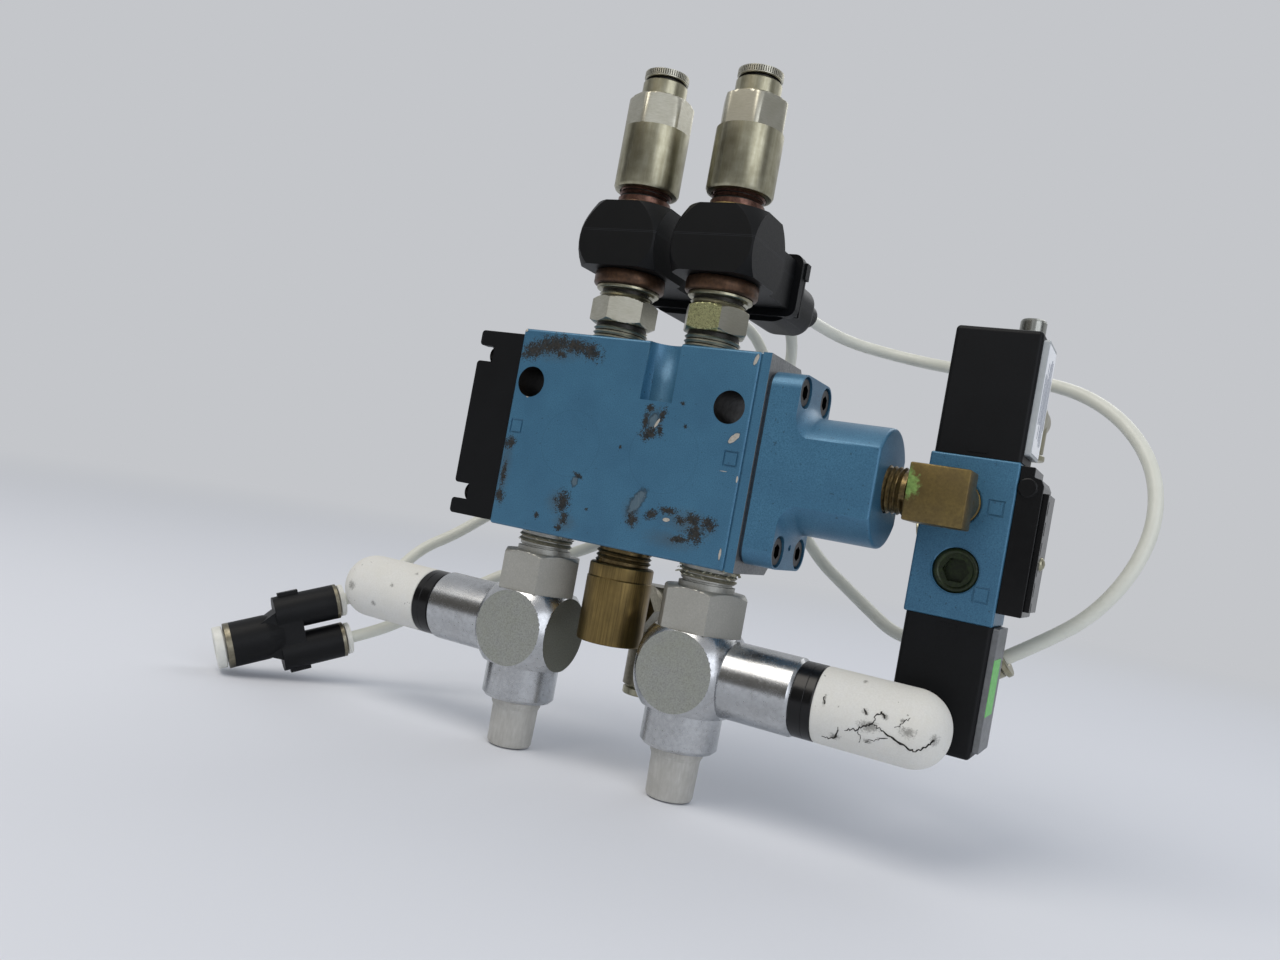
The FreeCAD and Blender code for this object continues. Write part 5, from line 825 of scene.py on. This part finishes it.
def fitting(side):
    """Round skirt, milled flats and throat of a push-in fitting."""
    skirt = 9.75

    def flats(limit):
        return hexagon(17.4, limit, HEX_TURN[side])
    profile = [(7.9, 45.4), (8.6, 45.4), (9.3, 45.7), (skirt, 46.5), (skirt, 63.9), (flats(skirt), 64.0, 0),
               (flats(skirt), 72.5, 1), (flats(9.5), 72.9, 1), (flats(8.9), 73.3, 1), (8.2, 73.65, 0),
               (7.0, 73.9), (6.65, 74.1), (6.65, 78.1), (6.4, 78.4), (5.9, 78.5), (5.75, 78.3), (5.7, 63.5),
               (4.0, 63.5), (4.0, 53.2), (7.9, 53.2)]
    turned(side + "_push_in_fitting", side + "_tube_fitting", [NICKEL, NICKEL_FLAT], profile,
           port_place(side), sides=144)


def collet(side):
    """The knurled ring that frees the tube."""
    place = port_place(side, 78.5)
    bm = bmesh.new()
    # Bands painted 1, the throat under the lip and the ring behind the teeth, are painted shade, near black
    revolve(bm, [(4.1, -8.2), (5.55, -8.2), (5.55, 0.7, 1), (6.1, 0.8, 1), (6.5, 1.0), (6.5, 1.3),
                 (6.15, 1.4, 1), (6.15, 3.0, 1), (6.0, 3.1), (4.5, 3.1), (4.1, 2.7)], place, loop=True)
    teeth = grow(KNURL, Count=62, Radius=6.3 * MM, Size=(0.6 * MM, 0.42 * MM, 1.7 * MM))
    take(bm, teeth, place @ at(0, 0, 2.15))
    put(side + "_knurled_collet", bm, [NICKEL_FLAT, OILY_SHADED_ROOT], [side + "_release_collet"])


CUBE_HALF, CUBE_LOW, CUBE_TOP = 12.5, 20.8, 39.8
# The cube's radius at even steps from its low face to its top, as its corners were turned off
CUBE_BARREL = [15.0, 16.2, 17.0, 17.35, 17.4, 17.15, 16.6, 15.8, 14.8, 13.6]
# The bridge to the module behind: its far end, width, height and how far it hangs below the cube's middle
BRIDGE_FAR, BRIDGE_WIDE, BRIDGE_HIGH, BRIDGE_DROP = 29.7, 18.0, 15.0, 1.6


def sensor_cube(side):
    """A cube with its corners turned off, most at the top, and its bridge to the module behind."""
    bm = bmesh.new()
    place = port_place(side)
    step = (CUBE_TOP - CUBE_LOW) / (len(CUBE_BARREL) - 1)
    barrel = [(radius, CUBE_LOW + i * step) for i, radius in enumerate(CUBE_BARREL)]
    revolve(bm, [(8.1, CUBE_LOW)] + barrel + [(8.1, CUBE_TOP)], place, sides=144, loop=True)
    for out in (Vector((1, 0, 0)), Vector((-1, 0, 0)), Vector((0, 1, 0)), Vector((0, -1, 0))):
        cut = bmesh.ops.bisect_plane(bm, geom=bm.verts[:] + bm.edges[:] + bm.faces[:],
                                     plane_co=place.translation + out * CUBE_HALF * MM, plane_no=out,
                                     clear_outer=True)["geom_cut"]
        bmesh.ops.contextual_create(bm, geom=[part for part in cut if isinstance(part, bmesh.types.BMEdge)])
    near = CUBE_HALF - 3.0
    box(bm, (0, (near + BRIDGE_FAR) / 2, (CUBE_LOW + CUBE_TOP) / 2 - BRIDGE_DROP),
        (BRIDGE_WIDE, BRIDGE_FAR - near, BRIDGE_HIGH), place)
    piece = put(side + "_parted_cube", bm, [CUBE_PLASTIC], [side + "_sensor_cube"],
                smooth=28.0)
    ease(piece, 0.5, 16)


# Quick exhausts. Heights are downwards from the body's bottom face
TEE_X = {"left": -25.4, "right": 28.9}
# The arm's height below the body, its end from the tee's middle, and the tee's faces from its middle
ARM_DROP, ARM_END, TEE_FACE = 29.0, 32.0, 12.0


def tee_place(side):
    return at(TEE_X[side], MIDDLE_Y, BODY_BOTTOM, DOWN)


def tee_nut(side):
    """Blasted nut with old tape pressed into its thread."""
    profile = [(4.5, -9.0), (ROOT, -9.0), (ROOT, 4.2), (7.0, 4.4), (7.0, 4.8), (7.9, 4.9), (7.9, 6.4)]
    profile += bevelled_hex(22.0, 6.4, 18.0, both_ends=False)
    profile += [(8.5, 18.0), (8.5, 22.0), (4.5, 22.0)]
    turned(side + "_threaded_nut", side + "_tee_nut", [ALUMINIUM, ALUMINIUM, OLD_THREAD], profile,
           tee_place(side), threads=[(CREST, 0.1, 4.4, 2)])


def tape(side, count, seed):
    """Torn sealing tape on the nut's thread."""
    bm = bmesh.new()
    shreds = grow(SHREDS, Count=count, Radius=8.15 * MM, High=3.6 * MM,
                  Size=(0.12 * MM, 1.5 * MM, 0.5 * MM), Seed=seed)
    take(bm, shreds, at(TEE_X[side], MIDDLE_Y, BODY_BOTTOM - 3.8))
    put(side + "_tape_shreds", bm, [TAPE], body="valve")


def tee_body(side):
    """The chromed tee, with its casting bare in front and at its end; the end is painted darker as shade."""
    middle = Vector((TEE_X[side], MIDDLE_Y, BODY_BOTTOM - ARM_DROP)) * MM
    outwards = 1 if side == "left" else -1

    def raw_face(face):
        """1 on the raw face in front, 2 on the end opposite the arm, which is painted darker as shade."""
        centre = face.calc_center_median() - middle
        front = face.normal.y < -0.9 and centre.y < -TEE_FACE * MM
        end = face.normal.x * outwards > 0.9 and centre.x * outwards > TEE_FACE * MM
        return 1 if front else 2 if end else 0
    dress(side + "_tee_body", [CHROME, CAST_FACE, CAST_SHADED_END], 0.3, raw_face)


def tee_stub(side):
    """The turned stub in the tee's lower end."""
    profile = [(0, 41.4), (6.4, 41.4), (6.4, 50.4), (7.9, 50.4), (7.95, 50.8), (7.4, 51.1), (7.35, 52.3),
               (7.1, 52.5), (7.05, 52.9), (6.85, 53.2), (6.6, 63.6), (6.3, 64.3), (5.9, 64.5), (4.6, 64.5),
               (4.4, 64.2), (4.4, 58.0), (0, 58.0)]
    turned(side + "_plain_stub", side + "_tee_stub", [STUB_METAL], profile, tee_place(side),
           loop=False)


# The silencer's shell: its end from the arm's end, its radius and its dome's radius
SHELL_END, SHELL_RADIUS, SHELL_DOME = 39.0, 10.0, 9.2


def silencers(side):
    """A black ring on the arm's end, and the white shell with its round end."""
    sign, way = (-1, LEFT) if side == "left" else (1, RIGHT)
    place = at(TEE_X[side] + sign * ARM_END, MIDDLE_Y, BODY_BOTTOM - ARM_DROP, way)
    ring = [(4.0, -8.0), (6.0, -8.0), (6.0, 0.0), (9.6, 0.0), (10.0, 0.3), (10.0, 3.4), (9.92, 3.5),
            (10.0, 3.6), (10.0, 5.7), (9.8, 6.0), (4.0, 6.0)]
    turned(side + "_black_base", side + "_silencer_ring", [GLOSS_BLACK], ring, place)
    outside = [(4.0, 6.0), (9.7, 6.0), (9.95, 6.25), (SHELL_RADIUS, 7.0)]
    for i in range(25):
        angle = math.pi / 2 * i / 24
        outside.append((SHELL_RADIUS - SHELL_DOME + SHELL_DOME * math.cos(angle),
                        SHELL_END - SHELL_DOME + SHELL_DOME * math.sin(angle)))
    bm = bmesh.new()
    revolve(bm, [(0, SHELL_END)] + outside[::-1], place)
    revolve(bm, [(0, SHELL_END - 6.0), (4.0, SHELL_END - 6.0), (4.0, 6.0)], place)
    put(side + "_porous_shell", bm, [SINTERED], [side + "_silencer"])


# Cracks in the right silencer: distance from the ring, angle up from its front, and width
CRACKS = [
    [(9.4, -41, 0.2), (11.7, -41, 0.4), (13.1, -34, 0.5), (13.6, -17, 0.2)],
    [(15.3, -19, 0.16), (18.0, -14, 0.36), (20.5, -5, 0.44), (22.0, 3, 0.3), (22.3, 14, 0.2),
     (23.4, 18, 0.36), (24.7, 14, 0.7)],
    [(19.1, 18, 0.2), (20.3, 12, 0.45)],
    [(22.4, 1, 0.16), (23.1, -2, 0.24), (26.0, -11, 0.4), (28.8, -16, 0.5), (31.5, -21, 0.4),
     (33.1, -24, 0.36), (34.9, -15, 0.42), (36.4, -3, 0.56)],
    [(20.6, -29, 0.24), (23.2, -20, 0.24), (26.1, -14, 0.2)],
    [(8.9, 21, 0.24), (9.3, 10, 0.3)],
    [(18.2, -14, 0.14), (19.4, -24, 0.2), (19.0, -33, 0.12)],
    [(27.2, 2, 0.12), (29.0, 13, 0.22), (30.4, 22, 0.12)],
]


def silencer_cracks():
    """Ragged cracks that follow the shell, each a flat dark line half sunk in it."""
    chance = random.Random(11)
    curve = bpy.data.curves.new("crack_lines", "CURVE")
    curve.dimensions, curve.bevel_depth, curve.bevel_resolution = "3D", 1.0, 1
    for path in CRACKS:
        points = []
        for (along, angle, wide), (to_along, to_angle, to_wide) in zip(path, path[1:]):
            for i in range(5):
                share = i / 5
                shift = chance.uniform(-0.28, 0.28) if i else 0.0
                points.append((along + (to_along - along) * share + shift,
                               angle + (to_angle - angle) * share + chance.uniform(-2.2, 2.2),
                               (wide + (to_wide - wide) * share) * chance.uniform(0.8, 1.7)))
        points.append(path[-1])
        spline = curve.splines.new("POLY")
        spline.points.add(len(points) - 1)
        for point, (along, angle, wide) in zip(spline.points, points):
            past = max(along - (SHELL_END - SHELL_DOME), 0.0)
            shell = SHELL_RADIUS - SHELL_DOME + math.sqrt(SHELL_DOME ** 2 - past ** 2)
            radius = shell - 0.35 * wide / 2
            angle = math.radians(angle)
            point.co = ((TEE_X["right"] + ARM_END + along) * MM, (MIDDLE_Y - radius * math.cos(angle)) * MM,
                        (BODY_BOTTOM - ARM_DROP + radius * math.sin(angle)) * MM, 1.0)
            point.radius = wide / 2 * MM
    bm = bmesh.new()
    take(bm, baked(new_object("crack_lines", curve)), UP)
    put("silencer_cracks", bm, [CRACK], body=frame["nodes"]["right_silencer"]["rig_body"])


# The inlet's middle, and where the elbow behind it opens
INLET_X, ELBOW_Y, ELBOW_DROP = 1.8, 13.6, 42.0


def sleeve():
    """The brass sleeve under the inlet, and the ring in the elbow's end."""
    turned("brass_sleeve", "inlet_sleeve", [BRASS, DARK_THREAD], [
        (4.5, -9.0), (ROOT, -9.0), (ROOT, 4.6, 1), (8.9, 4.9), (9.3, 5.3), (9.3, 8.6), (9.2, 8.8), (9.5, 9.1),
        (9.5, 26.9), (9.2, 27.4), (8.9, 27.5), (0, 27.5)], at(INLET_X, MIDDLE_Y, BODY_BOTTOM, DOWN),
        loop=False, threads=[(CREST, 0.1, 5.0, 1)])
    turned("inlet_release_ring", "inlet_collet", [NICKEL], [
        (3.1, -8.2), (4.65, -8.2), (4.65, 0.8), (5.5, 0.8), (5.8, 1.1), (5.8, 2.8), (5.5, 3.1), (3.4, 3.1),
        (3.1, 2.8)], at(INLET_X, ELBOW_Y, BODY_BOTTOM - ELBOW_DROP, DOWN))


def brass_elbow():
    """The block between the cap and the small valve, with a corner cut off and a leg to each."""
    left, right, front, back, low, top, corner = 80.4, 95.3, -22.1, -7.4, -21.5, -6.9, 4.8
    outline = [(left, front), (right, front), (right, back - corner), (right - corner, back), (left, back)]
    bm = bmesh.new()
    lower, upper = [[bm.verts.new((x * MM, y * MM, z * MM)) for x, y in outline] for z in (low, top)]
    bm.faces.new(lower[::-1])
    bm.faces.new(upper)
    for i in range(len(outline)):
        bm.faces.new((lower[i - 1], lower[i], upper[i], upper[i - 1]))
    bmesh.ops.bevel(bm, geom=bm.edges[:], offset=0.45 * MM, segments=2, affect="EDGES", profile=0.5)
    leg = at(64.9, MIDDLE_Y, SPOOL_Z, RIGHT)
    profile = [(2.5, 0.0), (5.6, 0.0), (5.6, 14.6), (5.0, 15.0), (5.0, 16.0), (2.5, 16.0)]
    revolve(bm, [(*point, 1) for point in profile], leg, loop=True)
    thread(bm, 6.2, 5.0, 14.6, leg, 1)
    other = at(89.5, MIDDLE_Y, SPOOL_Z, BACK)
    profile = [(2.5, 0.0), (5.85, 0.0), (5.85, 8.0), (5.3, 8.6), (5.3, 16.4), (2.5, 16.4)]
    revolve(bm, profile, other, loop=True)
    thread(bm, 5.85, 8.4, 11.8, other)
    put("sealed_brass_elbow", bm, [BRASS_BLOCK, DARK_THREAD], ["pilot_elbow"])


# Small valve
def knob():
    """The manual override, a little proud of the upper operator."""
    turned("override_knob", "manual_override", [KNOB_METAL], [
        (0, -4.0), (3.4, -4.0), (3.4, 4.6), (3.25, 4.8), (3.25, 5.0), (2.9, 5.3), (0, 5.3)],
        at(98.5, 10.0, 32.3), loop=False)


def plug():
    """The plug in the small valve, with its hexagon socket."""
    socket = 6.0
    turned("socket_plug", "port_plug", [GREEN_PLUG], [
        (0, 0.0), (5.85, 0.0), (5.85, 5.1), (5.4, 5.5), (5.0, 5.6), (4.6, 5.5), (4.3, 5.2),
        (hexagon(socket, 3.6), 5.2), (hexagon(socket), 4.9), (hexagon(socket), 2.2), (0, 2.2)],
        at(91.9, 3.1, -31.6, FRONT), loop=False)


def operator_tabs():
    """The low moulded bar on each operator's front, next to the blue body."""
    for name, z in (("upper", -0.2), ("lower", -45.9)):
        bm = bmesh.new()
        box(bm, (92.3, -2.95, z), (5.0, 0.3, 1.0))
        bmesh.ops.bevel(bm, geom=bm.edges[:], offset=0.1 * MM, segments=2, affect="EDGES")
        put(name + "_operator_bar", bm, [BLACK], body="valve")


def sheet_piece(name, low, high, paint):
    """A thin printed label between two corners."""
    bm = bmesh.new()
    box(bm, [(a + b) / 2 for a, b in zip(low, high)], [b - a for a, b in zip(low, high)])
    put(name, bm, [paint], body="valve")


def labels():
    """A printed label on the upper plate and a bare green one on the lower."""
    face = 105.0
    sheet_piece("upper_label", (face - 0.02, -1.0, 1.2), (face + 0.12, 12.8, 29.4), PAPER)
    bm = bmesh.new()
    lines = grow(LINES, Count=9, Step=(0, 1.35 * MM, 0), Size=(0.06 * MM, 0.5 * MM, 24.0 * MM), Seed=4)
    take(bm, lines, at(face + 0.13, 0.4, 15.3))
    put("upper_label_print", bm, [PRINT], body="valve")
    sheet_piece("green_label", (face - 0.02, -1.5, -66.8), (face + 0.12, 9.0, -52.2), GREEN_LABEL)


def terminal_screw_head():
    """The screw through the terminal's cover."""
    turned("terminal_screw_head", "terminal_screw", [NICKEL], [
        (0, -6.2), (0.95, -6.2), (0.95, 0.0), (1.8, 0.0), (1.8, 4.0), (1.6, 4.4), (0.9, 4.9), (0, 5.1)],
        at(107.0, 5.9, -26.2, RIGHT), loop=False, sides=48)


# Each fitting behind the small valve: x, z and the angle of its leg
FITTING_PLACES = {"lower": (95.0, -59.7, 36), "upper": (99.8, 13.0, -90), "middle": (85.8, -20.6, 194)}
FITTING_Y = 26.0


def pilot_collet(name):
    """The ring that frees a thin tube."""
    x, z, leg = FITTING_PLACES[name]
    turned(name + "_release_ring", name + "_pilot_collet", [NICKEL], [
        (2.05, 5.5), (2.8, 5.5), (2.8, 9.5), (4.9, 9.5), (5.2, 9.7), (5.2, 10.8), (4.9, 11.1), (2.4, 11.1),
        (2.05, 10.8)], at(x, FITTING_Y, z, Matrix.Rotation(math.radians(90 - leg), 4, "Y")), sides=64)


# Socket screws: one modelled, the others copied to their places round the spool's line
SCREW_Y, SCREW_Z = 8.3, 21.05


def socket_screws(name, node, seat_x, way, head, head_high, shank, socket):
    """Four screws with their heads at seat_x. Radii are head and shank; socket is across its flats."""
    bm = bmesh.new()
    revolve(bm, [(0, -8.0), (shank, -8.0), (shank, 0.0), (head, 0.0), (head, head_high - 0.4),
                 (head - 0.4, head_high), (hexagon(socket, socket / 2 + 0.3), head_high),
                 (hexagon(socket), head_high - 0.25), (hexagon(socket), head_high / 2),
                 (0, head_high / 2)], way, sides=48)
    bmesh.ops.recalc_face_normals(bm, faces=bm.faces)
    screw = new_object("one_screw", as_mesh("one_screw", bm))
    points = bpy.data.meshes.new("screw_places")
    points.from_pydata([(seat_x * MM, (MIDDLE_Y + y) * MM, (SPOOL_Z + z) * MM)
                        for y in (-SCREW_Y, SCREW_Y) for z in (-SCREW_Z, SCREW_Z)], [], [])
    bm = bmesh.new()
    take(bm, grow(COPIES, points, Piece=screw), UP)
    bpy.data.objects.remove(screw)
    put(name, bm, [BLACK_STEEL], [node])


def return_spring():
    """The spring stands on the end cover; it rides on no body, so its other end does not go with the spool.
    """
    low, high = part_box("return_spring")
    still, moving = (low[0] + 1.2 * MM, 0, 0), (high[0] - 1.8 * MM, 0, 0)
    bm = bmesh.new()
    bm.from_mesh(frame["nodes"]["return_spring"].data)
    put("return_spring_coils", bm, [STEEL], ["return_spring"],
        between=("valve", "spool", still, moving))


# Y connector: its wide end, the way it points, the way across its legs and a leg's distance from its middle
Y_END = (-125.0, -40.3, -100.3)
ALONG = Vector((0.546, 0.766, 0.336)).normalized()
ACROSS = Vector((-0.235, -0.244, 0.938))
ACROSS = (ACROSS - ALONG * ACROSS.dot(ALONG)).normalized()
Y_LEG = 6.6


def y_place(side=0.0):
    """A place on the connector's line, or beside it."""
    axes = Matrix((ACROSS, ALONG.cross(ACROSS), ALONG)).transposed().to_4x4()
    return at(*Y_END, axes @ at(side, 0, 0))


def y_pieces():
    """White release rings and nickel bands at the three ends, and the black body."""
    pieces = []
    for name, node, slot, paint, wide_end, leg_end in (
            ("white_release_rings", "y_collets", "white_ring", ACETAL,
             [(4.1, 0.4), (4.5, 0.0), (6.5, 0.0), (6.8, 0.3), (6.8, 2.6), (6.5, 2.9), (4.9, 2.9), (4.9, 9.4),
              (4.1, 9.4)],
             [(2.05, 36.6), (2.8, 36.6), (2.8, 40.6), (5.1, 40.6), (5.3, 40.8), (5.3, 42.0), (5.0, 42.3),
              (2.4, 42.3), (2.02, 42.0)]),
            ("nickel_bands", None, None, SHADED_OLIVE_NICKEL,
             [(5.0, 3.3), (7.2, 3.3), (7.34, 3.45), (7.34, 5.1), (7.0, 5.2), (5.0, 5.2)],
             [(3.0, 39.0), (5.7, 39.0), (5.84, 39.1), (5.84, 40.1), (5.7, 40.2), (3.0, 40.2)])):
        bm = bmesh.new()
        revolve(bm, wide_end, y_place(), loop=True)
        for side in (-Y_LEG, Y_LEG):
            revolve(bm, leg_end, y_place(side), sides=64, loop=True)
        pieces.append(put(name, bm, [paint], [node] if node else (), body="valve"))
    return pieces + [dress("y_connector", [BLACK], 0.25)]


# Stage
PALE = "c4c6ca"
STAGE_MIDDLE = Vector((0.0, 0.0, -0.03))
FLOOR_Z = -107.7


def new_stage(name, bm, finish):
    """A thing that is only there for the picture."""
    mesh = as_mesh(name, bm)
    mesh.materials.append(finish)
    made = new_object(name, mesh)
    return made


def aim(lamp, place):
    """Put a lamp or a card at its place, turned to the valve."""
    lamp.location = place
    lamp.rotation_euler = (STAGE_MIDDLE - Vector(place)).to_track_quat("-Z", "Y").to_euler()


def set_floor():
    """A pale floor that fades into the pale background."""
    floor, tree, shader, where = start_finish("pale_paper", "dee1e8", 0.85)
    far = add(tree, "ShaderNodeVectorMath", links={0: where}, operation="LENGTH")
    fade = add(tree, "ShaderNodeMapRange", {"From Min": 0.25, "From Max": 1.3},
               {"Value": far.outputs["Value"]}, interpolation_type="SMOOTHSTEP")
    glow = add(tree, "ShaderNodeEmission", {"Color": colour(PALE)})
    both = add(tree, "ShaderNodeMixShader", links={0: fade.outputs["Result"], 1: shader.outputs["BSDF"],
                                                   2: glow.outputs["Emission"]})
    out = [node for node in tree.nodes if node.type == "OUTPUT_MATERIAL"][0]
    tree.links.new(both.outputs["Shader"], out.inputs["Surface"])
    bm = bmesh.new()
    bmesh.ops.create_circle(bm, cap_ends=True, segments=96, radius=8.0, matrix=at(0, 0, FLOOR_Z))
    new_stage("floor", bm, floor)


def set_background():
    """Pale where the camera or a polished face looks, and a soft light for the rest."""
    bpy.context.scene.view_settings.view_transform = "Standard"
    world = bpy.data.worlds.new("studio")
    bpy.context.scene.world = world
    world.use_nodes = True
    tree = world.node_tree
    tree.nodes.clear()
    rays = add(tree, "ShaderNodeLightPath").outputs
    seen = rays["Is Camera Ray"]
    for other in ("Is Glossy Ray", "Is Transmission Ray"):
        seen = add(tree, "ShaderNodeMath", links={0: seen, 1: rays[other]}, operation="MAXIMUM").outputs[0]
    light = add(tree, "ShaderNodeBackground", {"Color": colour("e4e8ee"), "Strength": 0.55})
    pale = add(tree, "ShaderNodeBackground", {"Color": colour(PALE), "Strength": 1.0})
    both = add(tree, "ShaderNodeMixShader", links={0: seen, 1: light.outputs["Background"],
                                                   2: pale.outputs["Background"]})
    add(tree, "ShaderNodeOutputWorld", links={"Surface": both.outputs["Shader"]})


# Lamps: place in metres, size, power and colour
LAMPS = {"key_lamp": ((-0.25, -0.55, 0.85), 0.7, 5.2, "fff8ee"),
         "fill_lamp": ((0.9, -0.6, 0.3), 0.8, 3.2, "f2f6ff"),
         "back_lamp": ((0.2, 0.9, 0.8), 0.8, 2.6, "ffffff")}
# Dark cards that only metal reflects, so that it shows bands as in a room: place, size and colour
CARDS = {"card_front_left": ((-0.55, -1.0, 0.1), (0.9, 1.1), "66625a"),
         "card_low_front": ((0.2, -1.1, -0.05), (1.0, 0.3), "2c2a24"),
         "card_right": ((1.2, -0.1, 0.15), (0.6, 1.0), "2c2a24"),
         "card_left": ((-1.1, -0.5, 0.1), (0.5, 1.0), "2c2a24")}


def set_lamps():
    """The lamps, and the cards that metal reflects."""
    for name, (place, size, power, tone) in LAMPS.items():
        lamp = bpy.data.lights.new(name, "AREA")
        lamp.size, lamp.energy, lamp.color = size, power, colour(tone)[:3]
        aim(new_object(name, lamp), place)
    for name, (place, size, tone) in CARDS.items():
        bm = bmesh.new()
        bmesh.ops.create_grid(bm, x_segments=1, y_segments=1, size=0.5,
                              matrix=Matrix.Diagonal((*size, 1.0, 1.0)))
        card = new_stage(name, bm, start_finish(name, tone, 0.9)[0])
        aim(card, place)
        card.visible_camera = card.visible_diffuse = card.visible_shadow = card.visible_transmission = False


# Which material a face of a dressed solid gets
HOLE_X, HOLE_NEAR = 31.9, 5.0
# The end plate is painted in front and up to this x. The two operator plates part at this z
PAINTED_TO, PLATES_PART = 38.95, -23.0


def hole_wall(face):
    """The walls of the two mounting holes have no enamel: they are dirty, and the shade inside the holes is
    painted on them.
    """
    centre = face.calc_center_median() / MM
    near = min(math.hypot(centre.x - x, centre.z) for x in (-HOLE_X, HOLE_X))
    return 1 if near < HOLE_NEAR and abs(face.normal.y) < 0.5 else 0


def bare_edge(face):
    """The end plate's edge is bare past its painted part."""
    return 0 if face.normal.y < -0.5 or face.calc_center_median().x < PAINTED_TO * MM else 1


def lower_plate(face):
    """The lower of the two operator plates has a finish of its own."""
    return 0 if face.calc_center_median().z > PLATES_PART * MM else 1


# Make everything
set_camera()
lines = {node: lay_tube(node, NYLON_TUBE) for node in TUBES}
y_pieces()
set_floor()
set_background()
set_lamps()

for side in ("left", "right"):
    stud(side)
    washers(side)
    fitting(side)
    collet(side)
    tee_nut(side)
    tee_body(side)
    tee_stub(side)
    silencers(side)
    sensor_cube(side)
    dress(side + "_sensor_module", [BLACK], 0.25)
tape("right", 46, 3)
tape("left", 14, 8)
silencer_cracks()
sleeve()
brass_elbow()
knob()
plug()
operator_tabs()
labels()
terminal_screw_head()
for name in FITTING_PLACES:
    pilot_collet(name)
socket_screws("cap_socket_screws", "pilot_cap_screws", 46.2, RIGHT, 3.9, 4.0, 2.0, 3.6)
socket_screws("cover_socket_screws", "end_cover_screws", -47.6, LEFT, 2.75, 3.0, 1.5, 2.5)
return_spring()

# Solids that keep their shape: node, finishes, slot, how far the edges are eased and the rule for faces
for node, paints, slot, bevel, choose in (
        ("valve_body", [BLUE_WORN, DIRTY_SHADED_BORE], "blue_paint", 0.0, hole_wall),
        ("pilot_cap", [BLUE], "blue_paint", 0.4, None),
        ("small_valve_body", [BLUE], "blue_paint", 0.0, None),
        ("end_plate", [BLUE, BARE_PLATE], "blue_paint", 0.15, bare_edge),
        ("end_gasket", [GASKET], "rubber", 0.0, None),
        ("end_cover", [BLACK], "black_plastic", 0.25, None),
        ("upper_operator", [BLACK], "black_plastic", 0.0, None),
        ("lower_operator", [BLACK], "black_plastic", 0.0, None),
        ("operator_plates", [GREY_PLATE, DARK_PLATE], "grey_plate", 0.12, lower_plate),
        ("terminal_cover", [GLOSS_BLACK], "black_plastic", 0.15, None),
        ("terminal_plate", [GLOSS_BLACK], "black_plastic", 0.12, None),
        # The inlet elbow's nickel is painted darker as shade and olive as reflected brass
        ("inlet_elbow", [SHADED_OLIVE_NICKEL], "nickel", 0.3, None),
        ("pilot_fittings", [NICKEL], "nickel", 0.2, None)):
    dress(node, paints, bevel, choose)
for finish, nodes in ((STEEL, ("main_spool", "pilot_piston", "pilot_spool")),
                      (RUBBER, ("spool_seals", "piston_seal", "left_exhaust_lip", "right_exhaust_lip"))):
    for node in nodes:
        paint_node(node, finish)
